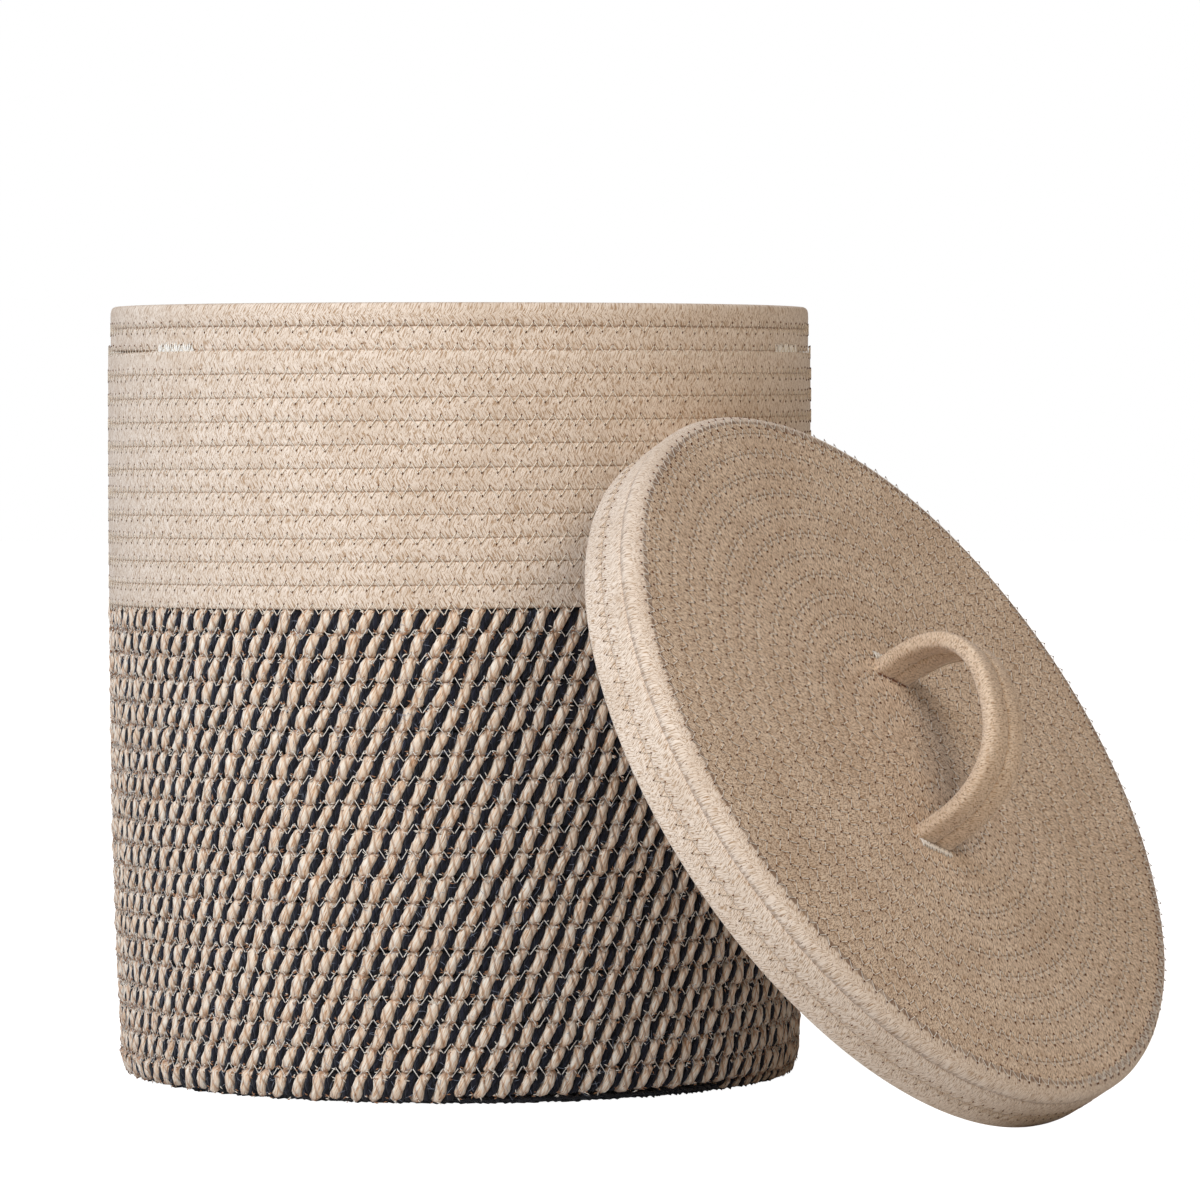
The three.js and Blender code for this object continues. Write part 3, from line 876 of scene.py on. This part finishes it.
class ROPEBASKET_OT_two_tone_wall(bpy.types.Operator):
    """Build the lower wall from its natural and dark strands"""

    bl_idname = "rope_basket.two_tone_wall"
    bl_label = "Two-Tone Wall"

    def execute(self, context):
        sizes, colours = choices(context)
        natural, dark, rope = two_tone_strands(sizes)
        finish = twisted("natural_strand", colours.natural_light, colours.natural_dark,
                         TURN * sizes.natural_strand, ply=8 * MM, brown_shade=colours.brown_shade)
        pieces = in_stretches("natural_strand", natural, 2, 8, finish)
        finish = twisted("dark_strand", colours.dark_light, colours.dark_deep,
                         TURN * sizes.dark_strand, ply=7 * MM, sheen=0.1)
        pieces += in_stretches("dark_strand", dark, 2, 6, finish)
        core = pick(rope, slice(None, None, 6))
        core["half_out"] = core["half_out"] * 0.3
        core["half_side"] = core["half_side"] + 0.2 * MM
        for piece in (*pieces, tube("two_tone_core", core, 6, finish)):
            ride(piece, "basket", "two_tone_rope", "lower_wall_coil")
        return {"FINISHED"}


def hairs(roots, ways, rise, radius, seed):
    """Rings of short bent hairs over the floor. ways has their directions and full lengths."""
    count = len(roots)
    draw = np.random.default_rng(seed)
    out = unit(roots * (1, 1, 0))
    curl = np.cross(out, ways) * draw.uniform(-0.5, 0.5, (count, 1))
    share = np.arange(HAIR_RINGS) / (HAIR_RINGS - 1)
    height = draw.uniform(0.3, 1.0, (count, 1)) * rise
    centre = (roots[:, None] + ways[:, None] * share[:, None]
              + curl[:, None] * (share * share)[:, None]
              + out[:, None] * (height * share * (1.6 - share))[..., None])
    centre[..., 2] = np.maximum(centre[..., 2], radius)
    along = unit(np.gradient(centre, axis=1).reshape(-1, 3))
    level = np.repeat(out, HAIR_RINGS, axis=0)
    level = unit(level - (level * along).sum(1)[:, None] * along)
    thick = radius * np.tile([0, 1, 0.8, 0], count)
    return rings_of(centre.reshape(-1, 3), level, np.cross(along, level), thick, thick)


class ROPEBASKET_OT_stray_fibres(bpy.types.Operator):
    """Add the fibres that stick out of the lower wall's strands"""

    bl_idname = "rope_basket.stray_fibres"
    bl_label = "Stray Fibres"

    def execute(self, context):
        sizes, colours = choices(context)
        strand, _, rope = two_tone_strands(sizes)
        draw = np.random.default_rng(SEED_FIBRE)

        # Tufts where the natural strand goes in and comes out at the seams.
        spoke = strand["centre"] - rope["centre"]
        turned = np.flatnonzero(np.diff(np.sign((spoke * rope["out"]).sum(1))))
        ends = np.repeat(turned[turned > BARE_RINGS], FIBRES_PER_END)
        here = pick(rope, ends)
        tangent = np.cross(UP, here["out"])
        count = len(ends)
        up = np.sign((spoke * rope["side"]).sum(1))[ends]
        across = up * draw.uniform(0.6, 1.0, count) * here["half_side"]
        turn = draw.uniform(-1.0, 1.0, count) + np.where(draw.random(count) < 0.5, math.pi, 0)
        aside = np.sign(np.cos(turn)) * draw.uniform(0.6, 2.2, count) * MM
        roots = (here["centre"] + here["side"] * across[:, None]
                 + here["out"] * (here["half_out"] - 0.6 * MM)[:, None]
                 + tangent * aside[:, None])
        ways = tangent * np.cos(turn)[:, None] + here["side"] * np.sin(turn)[:, None]
        ways = ways * draw.uniform(1.3, 2.8, (count, 1)) * MM
        # Half the tufts take the brown painted shade of the seams.
        kinds = (("natural", colours.natural_light), ("brown", colours.brown_shade))
        for first, (name, tone) in enumerate(kinds):
            rings = hairs(roots[first::2], ways[first::2], rise=0.9 * MM, radius=0.3 * MM,
                          seed=SEED_FIBRE + 2 + first)
            fibres = tube(f"{name}_fibres", rings, 3, plain(f"{name}_fibre", tone),
                          stretch=HAIR_RINGS)
            ride(fibres, "basket", "two_tone_rope", "lower_wall_coil")

        # Loose hairs all over the rows.
        count = LINT_COUNT
        here = pick(rope, draw.integers(BARE_RINGS, len(rope["centre"]) - BARE_RINGS, count))
        tangent = np.cross(UP, here["out"])
        roots = (here["centre"] + here["side"] * draw.uniform(-5, 5, (count, 1)) * MM
                 + here["out"] * (here["half_out"] - 0.7 * MM)[:, None])
        turn = draw.uniform(0, TURN, count)
        ways = tangent * np.cos(turn)[:, None] + here["side"] * np.sin(turn)[:, None]
        rings = hairs(roots, ways * draw.uniform(2.5, 6.5, (count, 1)) * MM, rise=1.3 * MM,
                      radius=0.11 * MM, seed=SEED_FIBRE + 1)
        lint = tube("lint", rings, 3, plain("lint", colours.lint), stretch=HAIR_RINGS)
        ride(lint, "basket", "two_tone_rope", "lower_wall_coil")
        return {"FINISHED"}


class ROPEBASKET_OT_plain_wall(bpy.types.Operator):
    """Build the upper wall from its plain braided rope"""

    bl_idname = "rope_basket.plain_wall"
    bl_label = "Plain Wall"

    def execute(self, context):
        sizes, colours = choices(context)
        turns = wall_turns(sizes, COLOUR_CHANGE, ALL_ROWS + 0.5 + JOG_REACH * 0.9, PLAIN_STEP)
        rope = wall_rope(sizes, turns)
        uneven = 0.08 * MM * wander(rope["along"], 0.03, SEED_HEIGHT)
        rope["centre"] = rope["centre"] + rope["out"] * uneven[:, None]
        rope["half_side"] = rope["half_side"] + 0.3 * MM
        rope["open"] = np.where(turns > ALL_ROWS - 0.6, 1.0, 0.0)
        at_rim = smooth(2 * (turns - ALL_ROWS + 0.9))
        rope["power"] = PLAIN_POWER + (RIM_POWER - PLAIN_POWER) * at_rim
        finish = braided("plain_rope", colours.plain_light, colours.plain_dark, colours.seam,
                         colours.groove, girth_of(rope, PLAIN_POWER), corner=3.8 * MM, depth=0.2,
                         coarse=0.66, dashes=0.4)
        ride(tube("plain_rope", rope, 20, finish, PLAIN_POWER), "basket", "plain_rope",
             "upper_wall_coil")
        return {"FINISHED"}


class ROPEBASKET_OT_wall_stitches(bpy.types.Operator):
    """Sew the wall's rows together with a zigzag thread, outside and inside"""

    bl_idname = "rope_basket.wall_stitches"
    bl_label = "Wall Stitches"

    def execute(self, context):
        sizes, colours = choices(context)

        # Name, first and last turn, then in millimetres lift, sink, dive and radius of the thread.
        for name, start, end, lift, sink, dive, radius, tone in (
                ("lower", 0.7, THREAD_CHANGE, 3.85, 0.4, 1.0, 0.21, colours.thread),
                ("upper", THREAD_CHANGE, ALL_ROWS - 0.55, 4.42, 0.08, 0.0, 0.24,
                 colours.plain_thread)):
            finish = sewn(f"{name}_wall_thread", tone, colours.hole)
            for place, side, count in (("outside", 1, 4), ("inside", -1, 3)):
                rings = zigzag(wall_seam(sizes, start, end, lift * MM, side), count, radius * MM,
                               sizes.stitch_reach, sizes.stitch, sink * MM, SEED_STITCH + side,
                               dive * MM)
                ride(tube(f"{name}_stitches_{place}", rings, 3, finish), "basket", "thread",
                     f"{name}_wall_coil")
        return {"FINISHED"}


class ROPEBASKET_OT_grip_tacks(bpy.types.Operator):
    """Sew the dense stitching at the ends of the two grip slits"""

    bl_idname = "rope_basket.grip_tacks"
    bl_label = "Grip Tacks"

    def execute(self, context):
        sizes, colours = choices(context)
        finish = plain("tack_thread", colours.thread)
        reach = (sizes.slit_span + sizes.tack_span) / 2
        for side, middle in zip(("right", "left"), SLIT_DIRECTIONS):
            for end, sign in (("start", -1), ("end", 1)):
                seam = tack_seam(sizes, math.radians(middle) + sign * reach)
                rings = zigzag(seam, 4, radius=0.42 * MM, reach=2.9 * MM, period=1.7 * MM,
                               sink=0.0, seed=SEED_STITCH + 7)
                ride(tube(f"grip_tack_{side}_{end}", rings, 5, finish), "basket", "thread",
                     f"grip_tack_{side}_{end}")
        return {"FINISHED"}


# Pieces of the lid. Its own frame has +Z out of its face and +X down the slope of its lean.


def lid_place(sizes):
    """Turn and origin of the lid's own frame, which is in the plane of the skirt's edge."""
    facing = Vector(JOINTS["lid_lift"]["axis"]).normalized()
    down = (Vector((0, 0, -1)) + facing * facing.z).normalized()
    across = facing.cross(down)
    turn = np.array([down, across, facing]).T
    origin = np.array(JOINTS["handle_fold"]["pos_m"]) - np.array(facing) * sizes.lid_depth
    return turn, origin


def face_rope(sizes):
    """Rings of the flat spiral of the lid's face."""
    pitch = sizes.lid_corner / FACE_ROWS
    turns, outside, inside = flat_spiral(FACE_ROWS, pitch, FACE_STEP, 0.22)
    half = sizes.lid_thickness / 2
    centre, radial = round_axis(-TURN * turns, (outside + inside) / 2, sizes.lid_depth - half)
    return rings_of(centre, UP, radial, half, (outside - inside) / 2 + 0.2 * MM)


def face_seam(sizes, side):
    """Spiral seam between the rows of the lid's face. side is 1 outside and -1 underneath."""
    turns = np.linspace(0.6, FACE_ROWS + 1, (FACE_ROWS + 1) * SEAM_PLACES)
    reach = np.minimum(turns, FACE_ROWS) * (sizes.lid_corner / FACE_ROWS)
    half = sizes.lid_thickness / 2
    height = sizes.lid_depth - half + side * (half + THREAD_GAP)

    def place(turn):
        centre, radial = round_axis(-TURN * turn, np.interp(turn, turns, reach), height)
        return centre, side * UP, radial

    return spiral_seam(turns, reach, place)


def skirt_profile(sizes, level):
    """Radius, height and outward lean of the skirt's middle line, at a row level from 0 to 3."""
    half = sizes.lid_thickness / 2
    inwards = np.interp(level, [1.5, 2.5], [0, SKIRT_CORNER - half])
    return (sizes.lid_radius - half - inwards, sizes.lid_depth * level / SKIRT_ROWS,
            0.8 * smooth(level - 1.5))


def skirt_rope(sizes):
    """Rings of the lid's corner row and skirt rows, with a short step down at the back."""
    turns = np.linspace(-1.2 * JOG_REACH, SKIRT_ROWS + 1.2 * JOG_REACH, SKIRT_ROWS * 370)
    nearest = np.floor(turns)
    level = np.clip(2.5 - nearest - jog(turns - nearest - 0.5), 0.5, 2.5)
    radius, height, lean = skirt_profile(sizes, level)
    corner = np.clip(level - 1.5, 0, 1)
    second = np.clip(1 - np.abs(level - 1.5), 0, 1)
    centre, radial = round_axis(math.pi / 2 - TURN * turns, radius,
                                height - 1.0 * MM * corner + 0.5 * MM * second)
    level_part, steep_part = np.cos(lean)[:, None], np.sin(lean)[:, None]
    full = tapered(len(turns))
    half_side = sizes.lid_depth / 6 + 0.35 * MM + 0.85 * MM * corner + 0.65 * MM * second
    return rings_of(
        centre, radial * level_part + UP * steep_part, UP * level_part - radial * steep_part,
        full * (sizes.lid_thickness / 2 + 2.2 * MM * corner), full * half_side,
        power=SKIRT_POWER + (CORNER_POWER - SKIRT_POWER) * corner,
        open=np.where(turns > 2 - JOG_REACH, -1.0, 0.0),
        # The corner row's upper side, where it meets the face, gets painted shade.
        border=np.where(turns < 1 - JOG_REACH, 1.0, 0.0))


def skirt_seam(sizes, level, side):
    """Round seam of the skirt at a level of 1 or 2 rows over its edge."""
    radius, height, _ = (float(value) for value in skirt_profile(sizes, float(level)))
    reach = radius + side * (sizes.lid_thickness / 2 + THREAD_GAP)
    height += 1.1 * MM if level == 2 else 0

    def at(places):
        centre, radial = round_axis(math.pi / 2 - places / reach, reach, height)
        return centre, side * radial, UP

    return TURN * reach, at


class ROPEBASKET_OT_lid_face(bpy.types.Operator):
    """Build the flat spiral of the lid's face"""

    bl_idname = "rope_basket.lid_face"
    bl_label = "Lid Face"

    def execute(self, context):
        sizes, colours = choices(context)
        rope = face_rope(sizes)
        rope["half_out"] = rope["half_out"] + 0.12 * MM * wander(rope["along"], 0.03, SEED_HEIGHT)
        finish = braided("lid_face_rope", colours.lid_light, colours.lid_dark, colours.seam,
                         colours.speck_and_border_shade, girth_of(rope, FACE_POWER), corner=3.4 * MM, depth=0.2,
                         coarse=0.57, size=0.85)
        ride(tube("lid_face_rope", placed(lid_place(sizes), rope), 20, finish, FACE_POWER), "lid",
             "lid_rope", "lid_face_coil")
        return {"FINISHED"}


class ROPEBASKET_OT_lid_skirt(bpy.types.Operator):
    """Build the corner row and the rows of the lid's skirt"""

    bl_idname = "rope_basket.lid_skirt"
    bl_label = "Lid Skirt"

    def execute(self, context):
        sizes, colours = choices(context)
        rope = skirt_rope(sizes)
        uneven = 0.15 * MM * wander(rope["along"], 0.04, SEED_HEIGHT + 1)
        rope["half_out"] = rope["half_out"] + uneven
        finish = braided("lid_skirt_rope", colours.plain_light, colours.plain_dark, colours.seam,
                         colours.speck_and_border_shade, girth_of(rope, SKIRT_GIRTH_POWER), corner=3.4 * MM,
                         depth=0.15, coarse=0.66, size=0.72, dashes=0.35)
        ride(tube("lid_skirt_rope", placed(lid_place(sizes), rope), 20, finish,
                  SKIRT_OUTLINE_POWER), "lid", "lid_rope", "lid_skirt_coil")
        return {"FINISHED"}


class ROPEBASKET_OT_lid_stitches(bpy.types.Operator):
    """Sew the lid's rows together with a zigzag thread, outside and underneath"""

    bl_idname = "rope_basket.lid_stitches"
    bl_label = "Lid Stitches"

    def execute(self, context):
        sizes, colours = choices(context)
        lid = lid_place(sizes)
        finish = sewn("lid_thread", colours.lid_thread, colours.hole)
        face_finish = sewn("face_thread", colours.thread, colours.hole, mouth=0.11)
        thread = (LID_THREAD, sizes.stitch_reach, sizes.stitch)
        for place, side, count in (("outside", 1, 4), ("underneath", -1, 3)):
            rings = zigzag(face_seam(sizes, side), count, *thread, sink=0.15 * MM,
                           seed=SEED_STITCH + 2 * side, tip=4.0)
            ride(tube(f"face_stitches_{place}", placed(lid, rings), 3, face_finish), "lid",
                 "thread", "lid_face_coil")
            for level in (1, 2):
                rings = zigzag(skirt_seam(sizes, level, side), count, *thread, sink=0.2 * MM,
                               seed=SEED_STITCH + level)
                ride(tube(f"skirt_stitches_{place}_{level}", placed(lid, rings), 3, finish),
                     "lid", "thread", "lid_skirt_coil")
        return {"FINISHED"}


# The handle. Its own frame has +X from its upper foot to its lower one and +Z out of the face.


def handle_place():
    """Turn and origin of the handle's own frame."""
    facing = Vector(JOINTS["lid_lift"]["axis"]).normalized()
    along = Vector(JOINTS["handle_fold"]["axis"]).normalized()
    turn = np.array([along, facing.cross(along), facing]).T
    return turn, np.array(JOINTS["handle_fold"]["pos_m"])


def handle_rope(sizes, across):
    """Rings of one of the handle's ropes, from inside the face round the loop and back in."""
    foot = 7.2 * MM
    angle = np.linspace(0, math.pi, 240)
    power = 2 / 2.4

    # The loop between its feet, which stand upright with their ends behind the face.
    run = -np.sign(np.cos(angle)) * np.abs(np.cos(angle)) ** power * sizes.handle_span / 2
    rise = foot + np.abs(np.sin(angle)) ** power * (sizes.handle_height - foot)
    leg = np.linspace(-7.5 * MM, foot, 8, endpoint=False)
    run = np.concatenate([np.full(8, run[0]), run, np.full(8, run[-1])]) + sizes.handle_shift
    rise = np.concatenate([leg, rise, leg[::-1]])
    line = np.stack([run, np.full(len(run), across), rise], 1)
    gone = distance(line)
    even = np.linspace(0, gone[-1], int(gone[-1] / HANDLE_STEP))
    centre = np.stack([np.interp(even, gone, line[:, axis]) for axis in range(3)], 1)
    centre[1:-1] = (centre[:-2] + 2 * centre[1:-1] + centre[2:]) / 4
    side = np.array([0.0, 1.0, 0.0])
    out = np.cross(side, unit(np.gradient(centre, axis=0)))
    return rings_of(centre, out, side, sizes.handle_thickness / 2,
                    sizes.handle_rope / 2 + 0.5 * MM, even)


def loop_seam(sizes, side):
    """Seam between the handle's two ropes. side is 1 outside and -1 inside of the loop."""
    rope = handle_rope(sizes, 0.0)
    foot = 13 * MM
    lift = side * (sizes.handle_thickness / 2 - 0.25 * MM)

    def at(places):
        centre, out, across = (
            np.stack([np.interp(places + foot, rope["along"], rope[key][:, axis])
                      for axis in range(3)], 1) for key in ("centre", "out", "side"))
        return centre + out * lift, side * out, across

    return rope["along"][-1] - 2 * foot, at


def foot_seam(sizes, place):
    """Short line across the handle's ropes on the lid's face, at a place along the handle."""
    span = 2 * sizes.handle_rope - 1 * MM

    def at(places):
        flat = 0 * places
        centre = np.stack([flat + place, places - span / 2, flat + 0.35 * MM], 1)
        return centre, UP, np.array([1.0, 0.0, 0.0])

    return span, at


def bend_with_handle(piece, slot, *nodes):
    """Bakes a piece's place into its mesh and hides the parts of the model that it stands for."""
    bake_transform(piece)
    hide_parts(*nodes)


class ROPEBASKET_OT_handle(bpy.types.Operator):
    """Build the handle's two ropes and their stitching"""

    bl_idname = "rope_basket.handle"
    bl_label = "Handle"

    def execute(self, context):
        sizes, colours = choices(context)
        own = handle_place()
        half = sizes.handle_thickness / 2
        finish = None
        for name, sign in (("front", -1), ("back", 1)):
            rope = handle_rope(sizes, sign * (sizes.handle_rope / 2 - 0.1 * MM))
            uneven = 0.12 * MM * wander(rope["along"], 0.02, SEED_LAY + sign)
            rope["half_out"] = rope["half_out"] + uneven
            finish = finish or braided(
                "handle_rope", colours.handle_light, colours.lid_dark, colours.seam,
                colours.speck_and_border_shade, girth_of(rope, HANDLE_POWER), corner=2.6 * MM, depth=0.0,
                coarse=0.62, size=0.6, dashes=0.0)
            piece = tube(f"handle_rope_{name}", placed(own, rope), 16, finish, HANDLE_POWER)
            bend_with_handle(piece, "handle_rope", f"handle_rope_{name}", "handle_foot_upper",
                             "handle_foot_lower")
        sewing = sewn("handle_thread", colours.lid_thread, colours.hole)
        for place, side in (("outside", 1), ("inside", -1)):
            rings = zigzag(loop_seam(sizes, side), 4, LID_THREAD, sizes.stitch_reach, sizes.stitch,
                           sink=0.5 * MM, seed=SEED_STITCH + 9 + side)
            piece = tube(f"handle_stitches_{place}", placed(own, rings), 4, sewing)
            bend_with_handle(piece, "thread", "handle_rope_front", "handle_rope_back")

        # Pale cord along the far edge of the loop: painted highlight of the strap's rim.
        edge = pick(handle_rope(sizes, sizes.handle_rope - 0.25 * MM), slice(10, -10))
        edge["centre"] = edge["centre"] + edge["out"] * (half - 0.4 * MM)
        edge["half_out"] = edge["half_side"] = np.full(len(edge["along"]), 0.38 * MM)
        edge_finish = plain("handle_edge", colours.lid_thread)
        bend_with_handle(tube("handle_rim_highlight", placed(own, edge), 6, edge_finish), "thread",
                         "handle_rope_back")

        # Stitching behind each foot, and a dark strip in front of it: painted shadow of its slot.
        white = plain("handle_tack_thread", colours.thread)
        dark = plain("handle_foot_shadow", colours.hole)
        across = np.linspace(-sizes.handle_rope, sizes.handle_rope, 25)
        flat = 0 * across
        full = tapered(len(across))
        for end, sign in (("upper", -1), ("lower", 1)):
            behind = sizes.handle_shift + sign * (sizes.handle_span / 2 + half + 2.1 * MM)
            rings = zigzag(foot_seam(sizes, behind), 4, radius=0.4 * MM, reach=1.3 * MM,
                           period=1.7 * MM, sink=0.0, seed=SEED_STITCH + 12)
            inner = sizes.handle_shift + sign * (sizes.handle_span / 2 - half)
            mouth = rings_of(np.stack([flat + inner, across, flat - 0.1 * MM], 1), UP,
                             [1.0, 0.0, 0.0], 0.35 * MM * full, 0.8 * MM * full, across)
            for piece in (tube(f"handle_tack_{end}", placed(own, rings), 5, white),
                          tube(f"handle_foot_shadow_{end}", placed(own, mouth), 8, dark)):
                ride(piece, "lid", "thread", f"handle_tack_{end}")
        return {"FINISHED"}


# Camera, floor and lights.


def aim(thing, place, target):
    """Puts an object at a place, looking at a target."""
    thing.location = place
    thing.rotation_euler = (Vector(target) - Vector(place)).to_track_quat("-Z", "Y").to_euler()


def soft_light(name, place, size, power, tint):
    """Square area light that looks at the middle of the basket."""
    light = bpy.data.lights.new(name, "AREA")
    light.size, light.energy, light.color = size, power, tint
    lamp = bpy.data.objects.new(name, light)
    bpy.context.scene.collection.objects.link(lamp)
    aim(lamp, place, (0.05, 0, 0.2))
    return lamp


def white_floor():
    """Floor that shows little more than the shadow."""
    finish = Finish("white_floor")
    path = finish.add("LightPath").outputs["Is Camera Ray"]
    inputs = finish.shader.inputs
    finish.tree.links.new(finish.times(path, 1.0), inputs["Emission Strength"])
    inputs["Emission Color"].default_value = (1, 1, 1, 1)
    inputs["Base Color"].default_value = (0.8, 0.8, 0.8, 1)
    inputs["Roughness"].default_value = 1.0
    inputs["Specular IOR Level"].default_value = 0.0
    return finish.material


class ROPEBASKET_OT_stage(bpy.types.Operator):
    """Set up the camera, the pale floor and the soft light"""

    bl_idname = "rope_basket.stage"
    bl_label = "Stage"

    def execute(self, context):
        scene = context.scene
        camera = bpy.data.objects.new("camera", bpy.data.cameras.new("camera"))
        camera.data.sensor_width, camera.data.lens = 36, 192
        camera.data.clip_end = 60
        scene.collection.objects.link(camera)
        scene.camera = camera
        side, away, height, fall = 0.07, 3.2, 0.335, 1 / 32
        aim(camera, (side, -away, height), (side, 0, height - away * fall))

        shape = bmesh.new()
        bmesh.ops.create_circle(shape, cap_ends=True, segments=64, radius=12)
        mesh = bpy.data.meshes.new("floor")
        shape.to_mesh(mesh)
        shape.free()
        floor = link("floor", mesh, white_floor())
        floor.location.z = -0.3 * MM

        key = soft_light("key_light", (-2.2, -2.1, 2.3), size=2.6, power=118,
                         tint=(0.826, 0.894, 1.0))
        fill = soft_light("fill_light", (1.3, -2.5, 1.9), size=1.2, power=27.9,
                          tint=(1.0, 0.869, 0.731))

        # The camera sees a white room, and all else gets its dim warm light.
        scene.world = bpy.data.worlds.new("white_room")
        scene.world.use_nodes = True
        tree = scene.world.node_tree
        path = tree.nodes.new("ShaderNodeLightPath")
        tint = tree.nodes.new("ShaderNodeMix")
        tint.data_type = "RGBA"
        tint.inputs[6].default_value = (0.18, 0.152, 0.128, 1)
        tint.inputs[7].default_value = (1, 1, 1, 1)
        tree.links.new(path.outputs["Is Camera Ray"], tint.inputs[0])
        tree.links.new(tint.outputs[2], tree.nodes["Background"].inputs["Color"])
        tree.nodes["Background"].inputs["Strength"].default_value = 1.0
        scene.view_settings.view_transform = "Standard"
        return {"FINISHED"}


class ROPEBASKET_PT_panel(bpy.types.Panel):
    """Steps that build the basket, its lid and the stage"""

    bl_idname = "ROPEBASKET_PT_panel"
    bl_label = "Rope Basket"
    bl_space_type = "VIEW_3D"
    bl_region_type = "UI"
    bl_category = "Rope Basket"

    def draw(self, context):
        for step in STEPS:
            self.layout.operator(step.bl_idname)
        for group in choices(context):
            for name in group.bl_rna.properties.keys():
                if name not in ("rna_type", "name"):
                    self.layout.prop(group, name)


STEPS = (
    ROPEBASKET_OT_base,
    ROPEBASKET_OT_two_tone_wall,
    ROPEBASKET_OT_stray_fibres,
    ROPEBASKET_OT_plain_wall,
    ROPEBASKET_OT_wall_stitches,
    ROPEBASKET_OT_grip_tacks,
    ROPEBASKET_OT_lid_face,
    ROPEBASKET_OT_lid_skirt,
    ROPEBASKET_OT_lid_stitches,
    ROPEBASKET_OT_handle,
    ROPEBASKET_OT_stage,
)
CLASSES = (BasketSizes, BasketColours, *STEPS, ROPEBASKET_PT_panel)


def register():
    for cls in CLASSES:
        bpy.utils.register_class(cls)
    bpy.types.Scene.basket_sizes = bpy.props.PointerProperty(type=BasketSizes)
    bpy.types.Scene.basket_colours = bpy.props.PointerProperty(type=BasketColours)


def unregister():
    del bpy.types.Scene.basket_colours
    del bpy.types.Scene.basket_sizes
    for cls in reversed(CLASSES):
        bpy.utils.unregister_class(cls)


def main():
    register()
    for step in STEPS:
        group, name = step.bl_idname.split(".")
        getattr(getattr(bpy.ops, group), name)()


if __name__ == "__main__":
    main()
